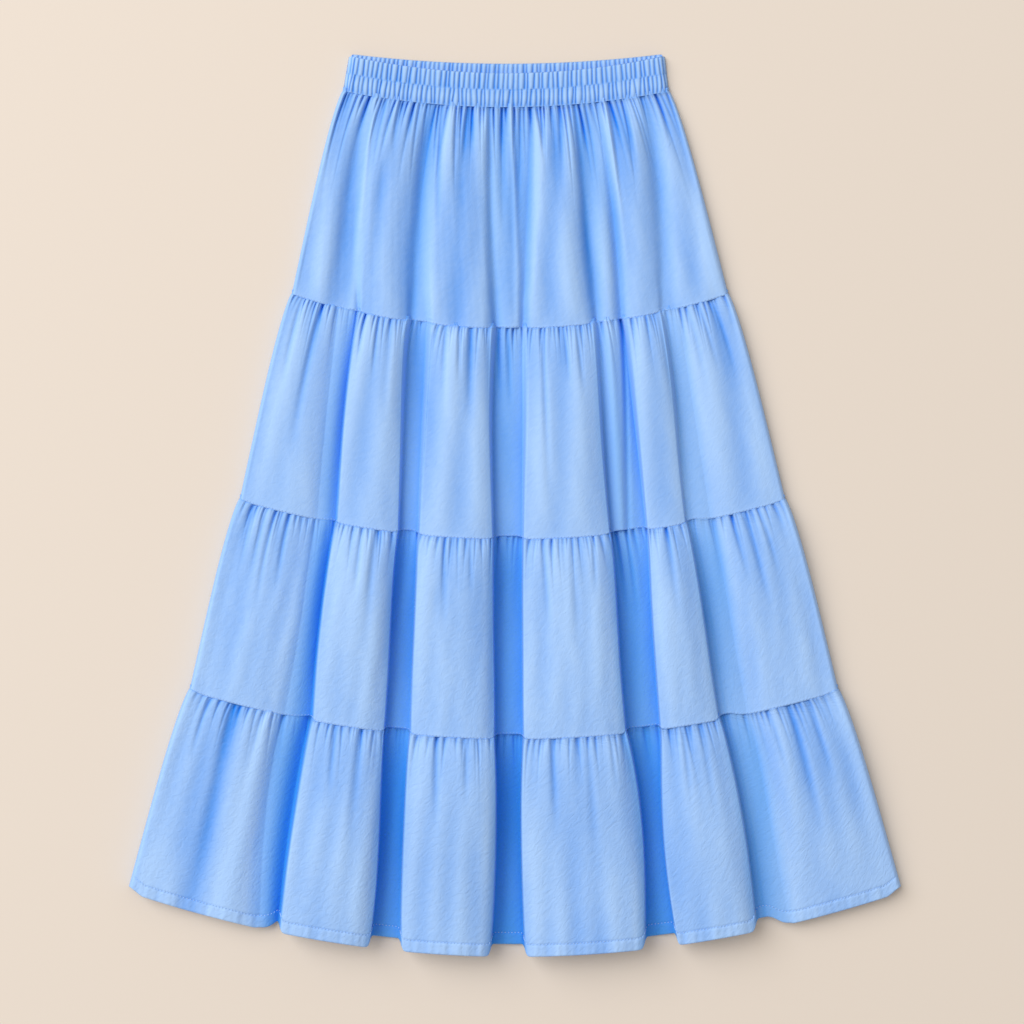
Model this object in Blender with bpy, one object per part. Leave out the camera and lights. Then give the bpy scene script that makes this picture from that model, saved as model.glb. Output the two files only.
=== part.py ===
"""Tiered maxi skirt laid flat on its back.

X runs across the skirt, +Y points to the waist and +Z up from the surface that it lies on.
Every size is in millimetres until a mesh is made.
"""

import math
from typing import NamedTuple

import bmesh
import bpy
import numpy as np

MM = 0.001

# Cloth walls and gaps
CLOTH_WALL = 1.5
BAND_WALL = 2.8
BACK_BAND_WALL = 2.5
SEAM_GAP = 0.3
SIDE_CLEARANCE = 1.6

# Side folds, where the front panels turn down to the back ones
SIDE_DEPTHS = (0.0, 1.2, 6.0, 16.0)
SIDE_ROUND = 26.0
BAND_SIDE_DEPTHS = (0.0, 0.8, 3.2, 8.0)
BAND_SIDE_ROUND = 8.5

# Large folds
WALL_WIDTH = 12.0
WALL_SHARE = 0.42
WALL_CELLS = 2
CROWN_SHARE = 0.13
SIDE_BULGE = 4.5
BULGE_POWER = 0.55

# Folds draw in towards one point of the skirt as they rise
DRAW_IN_HEIGHT = 1536.0
DRAW_IN_X = -3.2
DRAW_IN_Y = -6.5

# The middle of the skirt's length, from the same point that the lines are measured from
MIDDLE_Y = 4.636

# Gathers
GATHER_DEPTHS = (1.3, 3.0)
GATHER_LENGTHS = (30.0, 130.0)
GATHER_REST = 0.32
GATHER_START = 9.0
GATHER_END = 26.0
GATHER_WANDER = 0.34
GATHER_SEED = 11
VALLEY_SEED = 61
TIER_SEEDS = (111, 211, 311, 411)
VALLEY_GATHER = 0.5
WAIST_GATHER = 0.5

# Rows of points down each tier, as shares of its length
TIER_ROWS = (0.0, 0.05, 0.14, 0.32, 0.58, 0.84, 1.0)
BACK_CELLS = 12

# Waistband
BAND_HEIGHT = 11.0
BAND_RIBS = 46
BACK_BAND_RIBS = 24
RIB_DEPTH = 0.9
RIB_WANDER = 0.3
RIB_SEED = 5
CHANNEL_CROWN = 0.9

# Cotton
COTTON_COLOUR = (0.286, 0.474, 0.823, 1.0)
COTTON_ROUGHNESS = 0.85
SHARP_ANGLE = math.radians(50.0)


class Line(NamedTuple):
    """An edge or seam that runs across the skirt and curves down in its middle."""

    left: float
    right: float
    end: float
    middle: float


# The front's lines, then the back's
BAND_TOP = Line(left=-179.3, right=162.0, end=484.9, middle=467.6)
WAIST = Line(left=-185.8, right=166.3, end=448.2, middle=430.9)
SEAM_1 = Line(left=-240.8, right=230.0, end=230.0, middle=193.3)
SEAM_2 = Line(left=-297.0, right=291.6, end=8.6, middle=-33.5)
SEAM_3 = Line(left=-351.0, right=348.8, end=-196.6, middle=-248.4)
HEM = Line(left=-416.9, right=416.9, end=-410.4, middle=-480.1)
BACK_BAND_TOP = Line(left=-178.2, right=160.9, end=487.1, middle=476.8)
BACK_WAIST = Line(left=-185.8, right=166.3, end=447.3, middle=439.6)
BACK_HEM = Line(left=-416.9, right=416.9, end=-410.4, middle=-467.0)

FRONT_LINES = (WAIST, SEAM_1, SEAM_2, SEAM_3, HEM)
BACK_LINES = (BACK_WAIST, SEAM_1, SEAM_2, SEAM_3, BACK_HEM)
TIERS = len(FRONT_LINES) - 1

# How far each line dips on the large folds and rises in the valleys between them
LINE_WAVES = (0.0, 2.2, 2.4, 3.0, 7.0)


class Fold(NamedTuple):
    """A large fold that stands up from the waist to the hem.

    left and right are its edges in hundredths of the skirt's width, at the waist, the middle of
    tier 1, seam 1, the middle of tier 2 and so on to the hem. crest is its height at the waist, the
    three seams and the hem, and puff is what each tier adds between its seams. cells is how many
    strips it has across.
    """

    left: tuple
    right: tuple
    crest: tuple
    puff: tuple
    cells: int


class Valley(NamedTuple):
    """The low strip between two large folds, with a low ridge along its middle."""

    floor: tuple
    ridge: tuple
    cells: int


NO_EDGE = (0.0,) * 9
FAR_EDGE = (100.0,) * 9

FOLDS = (
    Fold(
        left=NO_EDGE,
        right=(6.0, 8.0, 11.5, 12.8, 14.3, 14.8, 14.7, 15.2, 17.0),
        crest=(9.0, 11.0, 12.0, 13.0, 12.0),
        puff=(2.5, 3.0, 4.0, 4.0),
        cells=6,
    ),
    Fold(
        left=(10.5, 12.2, 15.7, 16.6, 17.8, 18.2, 19.0, 18.8, 19.7),
        right=(24.2, 24.6, 25.3, 26.2, 28.9, 29.3, 29.7, 30.9, 31.1),
        crest=(10.5, 14.0, 19.0, 24.0, 29.0),
        puff=(4.0, 6.0, 7.0, 5.0),
        cells=8,
    ),
    Fold(
        left=(29.6, 30.6, 32.4, 32.9, 33.0, 33.8, 34.4, 34.2, 35.5),
        right=(43.4, 44.0, 45.5, 45.5, 46.0, 46.5, 46.6, 47.3, 46.8),
        crest=(11.0, 15.0, 21.0, 27.0, 32.0),
        puff=(4.0, 6.0, 7.0, 5.0),
        cells=8,
    ),
    Fold(
        left=(59.4, 57.2, 54.3, 53.4, 52.4, 51.8, 51.7, 51.0, 51.3),
        right=(69.0, 69.2, 68.6, 68.1, 67.8, 67.4, 67.1, 67.9, 66.9),
        crest=(11.0, 15.0, 21.0, 27.0, 32.0),
        puff=(4.0, 6.0, 7.0, 5.0),
        cells=10,
    ),
    Fold(
        left=(79.8, 78.6, 77.2, 76.0, 75.3, 74.0, 72.9, 71.3, 71.0),
        right=(89.2, 87.2, 84.0, 83.2, 82.0, 81.8, 82.0, 82.0, 81.4),
        crest=(10.5, 14.0, 19.0, 24.0, 28.0),
        puff=(4.0, 6.0, 7.0, 5.0),
        cells=6,
    ),
    Fold(
        left=(94.0, 91.0, 87.6, 87.2, 86.3, 86.4, 86.2, 86.0, 86.0),
        right=FAR_EDGE,
        crest=(9.0, 11.0, 13.0, 15.0, 15.0),
        puff=(2.5, 3.0, 4.0, 4.0),
        cells=7,
    ),
)

VALLEYS = (
    Valley(floor=(6.5, 7.5, 6.0, 5.6, 5.2), ridge=(0.0, 0.0, 0.0, 0.0, 0.0), cells=1),
    Valley(floor=(6.5, 7.5, 5.6, 5.4, 5.0), ridge=(0.0, 0.0, 0.0, 0.0, 0.0), cells=2),
    Valley(floor=(7.0, 7.8, 5.6, 5.4, 5.0), ridge=(3.2, 2.4, 0.6, 0.0, 0.0), cells=4),
    Valley(floor=(6.5, 7.5, 5.6, 5.4, 5.0), ridge=(3.2, 4.2, 2.4, 0.8, 0.0), cells=4),
    Valley(floor=(6.5, 8.5, 8.0, 8.5, 8.5), ridge=(0.0, 0.0, 0.0, 0.0, 0.0), cells=2),
)


class Section(NamedTuple):
    """One row of points across the skirt: place across, height, share of a fold and gather weight."""

    across: np.ndarray
    height: np.ndarray
    standing: np.ndarray
    gather: np.ndarray


def clear_scene() -> None:
    """Remove every object that the scene starts with."""
    for item in list(bpy.data.objects):
        bpy.data.objects.remove(item, do_unlink=True)


def cotton(name: str) -> bpy.types.Material:
    """Return a matt cotton material."""
    material = bpy.data.materials.new(name)
    material.use_nodes = True
    shader = material.node_tree.nodes["Principled BSDF"]
    shader.inputs["Base Color"].default_value = COTTON_COLOUR
    shader.inputs["Roughness"].default_value = COTTON_ROUGHNESS
    shader.inputs["Metallic"].default_value = 0.0
    return material


def along_tier(values: tuple, tier: int, share: float) -> float:
    """Return a fold edge's place at a share of a tier, on a curve through three of its values."""
    top, middle, bottom = values[2 * tier : 2 * tier + 3]
    return (
        top * (1.0 - share) * (1.0 - 2.0 * share)
        + middle * 4.0 * share * (1.0 - share)
        + bottom * share * (2.0 * share - 1.0)
    )


def between_seams(values: tuple, tier: int, share: float) -> float:
    """Return a height at a share of a tier, straight from one seam to the next."""
    return values[tier] + (values[tier + 1] - values[tier]) * share


def bulge(share: float) -> float:
    """Return how full a tier is, from 0 at its seams to 1 a little below the upper one."""
    return math.sin(math.pi * share**BULGE_POWER)


def ends_of(lines: tuple, tier: int, share: float) -> tuple:
    """Return the left and right ends of the row at a share of a tier."""
    upper, lower = lines[tier], lines[tier + 1]
    out = SIDE_BULGE * bulge(share)
    left = upper.left + (lower.left - upper.left) * share - out
    right = upper.right + (lower.right - upper.right) * share + out
    return left, right


def level_of(line: Line, part: np.ndarray) -> np.ndarray:
    """Return a line's place along the skirt at parts of its width."""
    return line.end + (line.middle - line.end) * (1.0 - (2.0 * part - 1.0) ** 2)


def side_rise(depth: np.ndarray, reach: float) -> np.ndarray:
    """Return the height of a rounded side fold, from 0 at its edge to 1."""
    inward = np.clip(depth / reach, 0.0, 1.0)
    return np.sqrt(1.0 - (1.0 - inward) ** 2)


def wandering(count: int, amount: float, seed: int) -> np.ndarray:
    """Return the steps from 0 to count, the inner ones moved a little."""
    steps = np.arange(count + 1, dtype=float)
    steps[1:-1] += amount * (np.random.default_rng(seed).random(count - 1) - 0.5)
    return steps


def strip(start: float, end: float, cells: int, seed: int) -> np.ndarray:
    """Return the places of a strip's points across, without its last one."""
    return start + (end - start) * wandering(cells, GATHER_WANDER, seed)[:-1] / cells


def zigzag(cells: int) -> np.ndarray:
    """Return -1 for a strip's gather troughs, 1 for its crests and 0 at its edge, without the last."""
    signs = np.where(np.arange(cells) % 2 == 1, -1.0, 1.0)
    signs[0] = 0.0
    return signs


def section_of(tier: int, share: float) -> Section:
    """Return the front's row of points at a share of a tier.

    Args:
        tier: 0 for the top tier to 3 for the lowest.
        share: 0 at the tier's upper seam to 1 at its lower one.

    Returns:
        The places and heights across, before any gather is added.
    """
    left_end, right_end = ends_of(FRONT_LINES, tier, share)
    width = right_end - left_end
    fullness = bulge(share)
    last = len(FOLDS) - 1
    side = np.array(SIDE_DEPTHS)
    down = np.arange(WALL_CELLS) / WALL_CELLS
    rows = []
    for index, fold in enumerate(FOLDS):
        start = left_end + width * along_tier(fold.left, tier, share) / 100.0
        end = left_end + width * along_tier(fold.right, tier, share) / 100.0
        crest = between_seams(fold.crest, tier, share) + fold.puff[tier] * fullness
        if index == 0:
            depths = side[:-1]
            rise = crest * side_rise(depths, SIDE_ROUND)
            rows.append((start + depths, rise, 0.5 + 0.5 * depths / side[-1], 0.0 * depths))
            start += side[-1]
        if index == last:
            end -= side[-1]
        places = strip(start, end, fold.cells, GATHER_SEED + index)
        crown = CROWN_SHARE * (1.0 - (2.0 * (places - start) / (end - start) - 1.0) ** 2)
        rise = side_rise(np.minimum(places - left_end, right_end - places), SIDE_ROUND)
        rows.append((places, crest * (rise + crown), np.ones(fold.cells), zigzag(fold.cells)))
        if index == last:
            depths = side[::-1]
            rise = crest * side_rise(depths, SIDE_ROUND)
            rows.append((right_end - depths, rise, 0.5 + 0.5 * depths / side[-1], 0.0 * depths))
            break
        valley = VALLEYS[index]
        after = FOLDS[index + 1]
        next_start = left_end + width * along_tier(after.left, tier, share) / 100.0
        next_crest = between_seams(after.crest, tier, share) + after.puff[tier] * fullness
        floor = between_seams(valley.floor, tier, share)
        wall = min(WALL_WIDTH, WALL_SHARE * (next_start - end))
        fall = 0.5 + 0.5 * np.cos(math.pi * down)
        rows.append((end + wall * down, floor + (crest - floor) * fall, fall, 0.0 * fall))
        bottom_start = end + wall
        bottom_end = next_start - wall
        places = strip(bottom_start, bottom_end, valley.cells, VALLEY_SEED + index)
        hump = np.sin(math.pi * (places - bottom_start) / (bottom_end - bottom_start))
        lift = hump * between_seams(valley.ridge, tier, share)
        rows.append((places, floor + lift, lift / (crest - floor), VALLEY_GATHER * zigzag(valley.cells)))
        climb = 0.5 - 0.5 * np.cos(math.pi * down)
        rows.append((bottom_end + wall * down, floor + (next_crest - floor) * climb, climb, 0.0 * climb))
    return Section(*(np.concatenate(column) for column in zip(*rows)))


def gather_height(tier: int, down: float, length: float, weights: np.ndarray) -> np.ndarray:
    """Return the gathers' height at a distance down a tier, each with its own depth and length."""
    chance = np.random.default_rng(TIER_SEEDS[tier])
    depths = chance.uniform(*GATHER_DEPTHS, len(weights))
    lengths = chance.uniform(*GATHER_LENGTHS, len(weights))
    fade = GATHER_REST + (1.0 - GATHER_REST) * np.exp(-down / lengths)
    start = min(1.0, down / GATHER_START)
    if tier == 0:
        start = WAIST_GATHER + (1.0 - WAIST_GATHER) * start
    end = 1.0
    if tier < TIERS - 1:
        end = min(1.0, (length - down) / GATHER_END)
    return weights * depths * fade * start * end


def drawn_in(points: np.ndarray) -> np.ndarray:
    """Return the points drawn in towards the middle as they rise, about the middle of the length."""
    centre = np.array((DRAW_IN_X, DRAW_IN_Y))
    moved = points.copy()
    moved[..., :2] = centre + (points[..., :2] - centre) * (1.0 - points[..., 2:] / DRAW_IN_HEIGHT)
    moved[..., 1] -= MIDDLE_Y
    return moved


def section_normals(row: np.ndarray) -> np.ndarray:
    """Return the outward direction at each point of a row, square to the row and upright in it."""
    steps = np.diff(row, axis=0)
    level = np.hypot(steps[:, 0], steps[:, 1])
    flat = steps[:, :2] / level[:, None]
    normals = np.column_stack((flat * -steps[:, 2:], level))
    normals /= np.linalg.norm(normals, axis=1)[:, None]
    joined = np.vstack((normals[:1], normals[:-1] + normals[1:], normals[-1:]))
    joined /= np.linalg.norm(joined, axis=1)[:, None]
    joined[0] = (-flat[0, 0], -flat[0, 1], 0.0)
    joined[-1] = (flat[-1, 0], flat[-1, 1], 0.0)
    return joined


def solid_between(name: str, outer: np.ndarray, inner: np.ndarray) -> bpy.types.Object:
    """Return a closed wall between two grids of points, rows running down and columns to the right."""
    rows, columns = outer.shape[:2]
    shape = bmesh.new()
    over = [[shape.verts.new(point * MM) for point in row] for row in outer]
    under = [[shape.verts.new(point * MM) for point in row] for row in inner]
    for row in range(rows - 1):
        for column in range(columns - 1):
            corners = ((row, column), (row + 1, column), (row + 1, column + 1), (row, column + 1))
            shape.faces.new([over[r][c] for r, c in corners])
            shape.faces.new([under[r][c] for r, c in reversed(corners)])
    down = [(row, 0) for row in range(rows)]
    across = [(rows - 1, column) for column in range(columns)]
    up = [(row, columns - 1) for row in reversed(range(rows))]
    back = [(0, column) for column in reversed(range(columns))]
    for side in (down, across, up, back):
        for (r, c), (next_r, next_c) in zip(side, side[1:]):
            shape.faces.new([over[next_r][next_c], over[r][c], under[r][c], under[next_r][next_c]])
    mesh = bpy.data.meshes.new(name)
    shape.to_mesh(mesh)
    shape.free()
    mesh.shade_smooth()
    mesh.set_sharp_from_angle(angle=SHARP_ANGLE)
    mesh.materials.append(cotton(f"{name}_cotton"))
    piece = bpy.data.objects.new(name, mesh)
    bpy.context.scene.collection.objects.link(piece)
    return piece


def front_tier(tier: int) -> bpy.types.Object:
    """Build the front panel of a tier, with its large folds and gathers."""
    upper, lower = FRONT_LINES[tier], FRONT_LINES[tier + 1]
    outer, inner = [], []
    for share in TIER_ROWS:
        section = section_of(tier, share)
        left_end, right_end = ends_of(FRONT_LINES, tier, share)
        part = (section.across - left_end) / (right_end - left_end)
        dip = 2.0 * section.standing - 1.0
        top = level_of(upper, part) - LINE_WAVES[tier] * dip - SEAM_GAP / 2.0
        bottom = level_of(lower, part) - LINE_WAVES[tier + 1] * dip + SEAM_GAP / 2.0
        length = upper.middle - lower.middle
        height = section.height + gather_height(tier, share * length, length, section.gather)
        height[0] = 0.0
        height[-1] = 0.0
        row = np.column_stack((section.across, top + (bottom - top) * share, height))
        outer.append(row)
        inner.append(row - CLOTH_WALL * section_normals(row))
    return solid_between(f"tier{tier + 1}_front", drawn_in(np.array(outer)), drawn_in(np.array(inner)))


def back_tier(tier: int) -> bpy.types.Object:
    """Build the back panel of a tier, flat on the surface and just inside the front's side folds."""
    upper, lower = BACK_LINES[tier], BACK_LINES[tier + 1]
    inset = CLOTH_WALL + SIDE_CLEARANCE
    outer = []
    for share in TIER_ROWS:
        left_end, right_end = ends_of(BACK_LINES, tier, share)
        part = np.linspace(0.0, 1.0, BACK_CELLS + 1)
        top = level_of(upper, part) - SEAM_GAP / 2.0
        bottom = level_of(lower, part) + SEAM_GAP / 2.0
        across = left_end + inset + (right_end - left_end - 2.0 * inset) * part
        height = np.full(len(part), CLOTH_WALL)
        outer.append(np.column_stack((across, top + (bottom - top) * share, height)))
    outer = np.array(outer)
    outer[..., 1] -= MIDDLE_Y
    inner = outer.copy()
    inner[..., 2] = 0.0
    return solid_between(f"tier{tier + 1}_back", outer, inner)


class BandRow(NamedTuple):
    """A row of the waistband: its share of the height, its ribs' depth and its channel's fullness."""

    share: float
    rib: float
    fullness: float


BAND_ROWS = (
    BandRow(share=0.0, rib=0.5, fullness=0.0),
    BandRow(share=0.24, rib=1.0, fullness=1.0),
    BandRow(share=0.5, rib=0.1, fullness=0.0),
    BandRow(share=0.76, rib=1.0, fullness=1.0),
    BandRow(share=1.0, rib=0.6, fullness=0.0),
)


def front_band() -> bpy.types.Object:
    """Build the front of the ribbed waistband."""
    cells = 2 * BAND_RIBS
    steps = wandering(cells, RIB_WANDER, RIB_SEED)[1:-1] / cells
    ribs = np.where(np.arange(1, cells) % 2 == 1, 1.0, -1.0)
    depths = np.array(BAND_SIDE_DEPTHS)
    outer, inner = [], []
    for share, rib, fullness in BAND_ROWS:
        left_end = BAND_TOP.left + (WAIST.left - BAND_TOP.left) * share
        right_end = BAND_TOP.right + (WAIST.right - BAND_TOP.right) * share
        start = left_end + depths[-1]
        end = right_end - depths[-1]
        across = np.concatenate((left_end + depths, start + (end - start) * steps, right_end - depths[::-1]))
        relief = np.concatenate((np.zeros(len(depths)), ribs, np.zeros(len(depths))))
        rise = side_rise(np.minimum(across - left_end, right_end - across), BAND_SIDE_ROUND)
        sink = CHANNEL_CROWN * (1.0 - fullness) * rise
        part = (across - left_end) / (right_end - left_end)
        top = level_of(BAND_TOP, part)
        bottom = level_of(WAIST, part) + SEAM_GAP / 2.0
        row = np.column_stack((across, top + (bottom - top) * share, BAND_HEIGHT * rise))
        normals = section_normals(row)
        outer.append(row + normals * (RIB_DEPTH * rib * relief - sink)[:, None])
        inner.append(row - BAND_WALL * normals)
    return solid_between("waistband_front", drawn_in(np.array(outer)), drawn_in(np.array(inner)))


def back_band() -> bpy.types.Object:
    """Build the back of the waistband, flat below and ribbed above, on the inside of the waist."""
    cells = 2 * BACK_BAND_RIBS
    steps = wandering(cells, RIB_WANDER, RIB_SEED + 1) / cells
    ribs = np.where(np.arange(cells + 1) % 2 == 1, 1.0, -1.0)
    inset = BAND_WALL + SIDE_CLEARANCE
    outer = []
    for share, rib, fullness in BAND_ROWS:
        left_end = BACK_BAND_TOP.left + (BACK_WAIST.left - BACK_BAND_TOP.left) * share + inset
        right_end = BACK_BAND_TOP.right + (BACK_WAIST.right - BACK_BAND_TOP.right) * share - inset
        across = left_end + (right_end - left_end) * steps
        top = level_of(BACK_BAND_TOP, steps)
        bottom = level_of(BACK_WAIST, steps) + SEAM_GAP / 2.0
        height = BACK_BAND_WALL - CHANNEL_CROWN * (1.0 - fullness) + 0.5 * RIB_DEPTH * rib * ribs
        outer.append(np.column_stack((across, top + (bottom - top) * share, height)))
    outer = np.array(outer)
    outer[..., 1] -= MIDDLE_Y
    inner = outer.copy()
    inner[..., 2] = 0.0
    return solid_between("waistband_back", outer, inner)


def build_skirt() -> None:
    """Build the whole skirt."""
    clear_scene()
    front_band()
    back_band()
    for tier in range(TIERS):
        front_tier(tier)
        back_tier(tier)


build_skirt()
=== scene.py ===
"""Dresses the tiered maxi skirt in washed cotton and sets it in a plain studio.

Sizes are in millimetres until a mesh is made. X runs across the skirt, +Y to the waist, +Z up.
"""

import logging
import math
from dataclasses import dataclass
from enum import Enum

import bpy
import numpy as np
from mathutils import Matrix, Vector


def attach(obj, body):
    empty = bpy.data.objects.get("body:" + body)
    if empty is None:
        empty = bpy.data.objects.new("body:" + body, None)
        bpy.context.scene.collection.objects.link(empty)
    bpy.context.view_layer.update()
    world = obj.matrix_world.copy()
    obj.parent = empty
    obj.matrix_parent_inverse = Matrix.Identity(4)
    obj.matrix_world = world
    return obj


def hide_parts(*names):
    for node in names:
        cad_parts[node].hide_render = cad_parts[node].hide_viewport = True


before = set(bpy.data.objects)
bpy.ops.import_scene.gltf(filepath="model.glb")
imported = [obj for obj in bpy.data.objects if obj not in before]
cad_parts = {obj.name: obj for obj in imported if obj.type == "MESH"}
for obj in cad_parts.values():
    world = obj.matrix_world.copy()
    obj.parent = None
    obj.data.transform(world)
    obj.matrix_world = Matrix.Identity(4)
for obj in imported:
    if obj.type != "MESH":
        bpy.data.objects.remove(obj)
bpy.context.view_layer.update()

MM = 0.001
LOG = logging.getLogger("skirt")
# How far a wave texture of scale 1 turns in a metre, in radians.
WAVE_TURN = 20.0
# A colour mix: the numbers of its inputs for the share and the two colours, and of its output.
MIX_SHARE, MIX_FIRST, MIX_SECOND, MIXED = 0, 6, 7, 2
# The distance between two columns of a front panel's points, tier by tier, in millimetres.
COLUMN_SPACINGS = (0.62, 0.74, 0.85, 1.0)


class Face(Enum):
    """Which side of the skirt a panel is on."""

    FRONT = "front"
    BACK = "back"


class Strip(Enum):
    """The kinds of strip that a row across the front is made of."""

    LEFT_SIDE = "left side"
    RIGHT_SIDE = "right side"
    TOP = "top of a fold"
    FALL = "fall to a valley"
    FLOOR = "floor of a valley"
    CLIMB = "climb to a fold"


@dataclass(frozen=True)
class Line:
    """An edge or seam across the skirt, curving down in its middle.

    left and right are its ends, end its place along the skirt there and middle that of its middle.
    """

    left: float
    right: float
    end: float
    middle: float

    def level(self, part: np.ndarray) -> np.ndarray:
        """Return the line's place along the skirt at parts of its width."""
        return self.end + (self.middle - self.end) * (1.0 - (2.0 * part - 1.0) ** 2)


@dataclass(frozen=True)
class Shoulder:
    """How a fold's edge rounds down.

    upper and lower are how far in it reaches at the waist and the hem, in millimetres, and share how much
    of the fold's height it takes.
    """

    upper: float
    lower: float
    share: float


@dataclass(frozen=True)
class Fold:
    """A large fold from the waist to the hem.

    left and right are its edges in hundredths of the width, at the waist, mid tier 1, seam 1 and so on.
    crest is its height at the waist, the seams and the hem, and puff what each tier adds between them.
    shoulders are its left and right ones.
    """

    left: tuple[float, ...]
    right: tuple[float, ...]
    crest: tuple[float, ...]
    puff: tuple[float, ...]
    shoulders: tuple[Shoulder, Shoulder]


@dataclass(frozen=True)
class Valley:
    """The low strip between two large folds, with a low ridge along its middle.

    fall and climb are the least shares of its width that its left and right walls take. Its extra painted
    shade makes it look deeper than it is beside the fold on its right, in millimetres.
    """

    floor: tuple[float, ...]
    ridge: tuple[float, ...]
    fall: float = 0.0
    climb: float = 0.0
    extra_shade: float = 0.0


@dataclass(frozen=True)
class Crease:
    """A soft trough listed one by one, or a ridge where its depth is negative.

    start and finish are hundredths of the width, and top and reach shares of the tier's length.
    width and depth are millimetres.
    """

    start: float
    finish: float
    top: float
    reach: float
    width: float
    depth: float


@dataclass(frozen=True)
class Puckers:
    """A family of small gathers below a seam, as many as its pitch in millimetres gives.

    depth, width and reach down the tier are the least and most. growth is the distance in which a
    gather doubles its width, and taper the share of it that a pointed one has lost at its end. The
    higher fade is, the more suddenly a gather ends.
    """

    pitch: float
    depth: tuple[float, float]
    width: tuple[float, float]
    reach: tuple[float, float]
    growth: float
    seed: int
    taper: float = 0.0
    fade: float = 1.2


WAIST = Line(left=-185.8, right=166.3, end=448.2, middle=430.9)
BAND_TOP = Line(left=-179.3, right=162.0, end=486.2, middle=467.6)
SEAM_1 = Line(left=-240.8, right=230.0, end=230.0, middle=193.3)
SEAM_2 = Line(left=-297.0, right=291.6, end=8.6, middle=-33.5)
SEAM_3 = Line(left=-351.0, right=348.8, end=-196.6, middle=-248.4)
HEM = Line(left=-416.9, right=416.9, end=-410.4, middle=-480.1)
BACK_BAND_TOP = Line(left=-178.2, right=160.9, end=487.1, middle=476.8)
BACK_WAIST = Line(left=-185.8, right=166.3, end=447.3, middle=439.6)
BACK_HEM = Line(left=-416.9, right=416.9, end=-410.4, middle=-467.0)
FRONT_LINES = (WAIST, SEAM_1, SEAM_2, SEAM_3, HEM)
BACK_LINES = (BACK_WAIST, SEAM_1, SEAM_2, SEAM_3, BACK_HEM)

CRISP = Shoulder(upper=2.0, lower=1.6, share=0.04)
EASED = Shoulder(upper=19.0, lower=24.0, share=0.2)
LEFT_SLOPE = Shoulder(upper=25.0, lower=44.0, share=0.3)
RIGHT_SLOPE = Shoulder(upper=20.0, lower=30.0, share=0.7)

FOLDS = (
    Fold(
        left=(0.0,) * 9,
        right=(6.0, 8.0, 11.5, 12.8, 14.3, 14.8, 14.7, 15.2, 17.0),
        crest=(9.0, 11.0, 13.0, 15.0, 15.0),
        puff=(2.5, 3.0, 4.0, 4.0),
        shoulders=(CRISP, LEFT_SLOPE),
    ),
    Fold(
        left=(10.5, 12.2, 15.5, 16.7, 17.8, 18.3, 19.0, 19.2, 19.6),
        right=(24.2, 25.0, 26.2, 27.6, 29.0, 29.5, 29.9, 31.1, 31.1),
        crest=(10.5, 14.0, 19.0, 24.0, 29.0),
        puff=(4.0, 6.0, 7.0, 5.0),
        shoulders=(CRISP, EASED),
    ),
    Fold(
        left=(29.6, 30.6, 32.4, 32.8, 33.0, 33.6, 34.2, 34.5, 35.4),
        right=(43.4, 44.0, 45.5, 45.6, 46.2, 46.7, 46.8, 47.4, 46.7),
        crest=(11.0, 15.0, 21.0, 27.0, 32.0),
        puff=(4.0, 6.0, 7.0, 5.0),
        shoulders=(CRISP, EASED),
    ),
    Fold(
        left=(59.4, 57.2, 54.3, 53.0, 52.2, 51.6, 51.6, 51.0, 51.4),
        right=(69.0, 69.2, 68.5, 67.9, 67.7, 67.3, 67.2, 67.8, 66.8),
        crest=(11.0, 15.0, 21.0, 27.0, 32.0),
        puff=(4.0, 6.0, 7.0, 5.0),
        shoulders=(CRISP, EASED),
    ),
    Fold(
        left=(79.8, 78.6, 77.0, 75.6, 74.8, 73.3, 72.6, 70.9, 71.0),
        right=(89.2, 87.2, 84.0, 82.6, 81.7, 81.4, 81.6, 81.7, 81.2),
        crest=(10.5, 14.0, 19.0, 24.0, 28.0),
        puff=(4.0, 6.0, 7.0, 5.0),
        shoulders=(CRISP, EASED),
    ),
    Fold(
        left=(94.0, 91.0, 87.6, 86.9, 86.2, 86.0, 85.9, 85.6, 85.6),
        right=(100.0,) * 9,
        crest=(9.0, 11.0, 13.0, 15.0, 15.0),
        puff=(2.5, 3.0, 4.0, 4.0),
        shoulders=(RIGHT_SLOPE, CRISP),
    ),
)

VALLEYS = (
    Valley(floor=(7.6, 8.0, 5.2, 4.2, 3.6), ridge=(0.0, 0.0, 0.0, 0.0, 0.0), fall=0.9, extra_shade=8.0),
    Valley(floor=(7.0, 8.5, 5.6, 5.4, 5.0), ridge=(0.0, 0.0, 0.0, 0.0, 0.0)),
    Valley(floor=(7.0, 8.6, 5.6, 5.4, 5.0), ridge=(4.2, 4.2, 0.6, 0.0, 0.0)),
    Valley(floor=(7.0, 8.5, 5.6, 5.4, 5.0), ridge=(3.2, 4.2, 2.4, 0.8, 0.0)),
    Valley(floor=(7.6, 10.0, 10.5, 11.5, 10.0), ridge=(0.0, 0.0, 0.0, 0.0, 0.0), climb=0.7),
)

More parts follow.
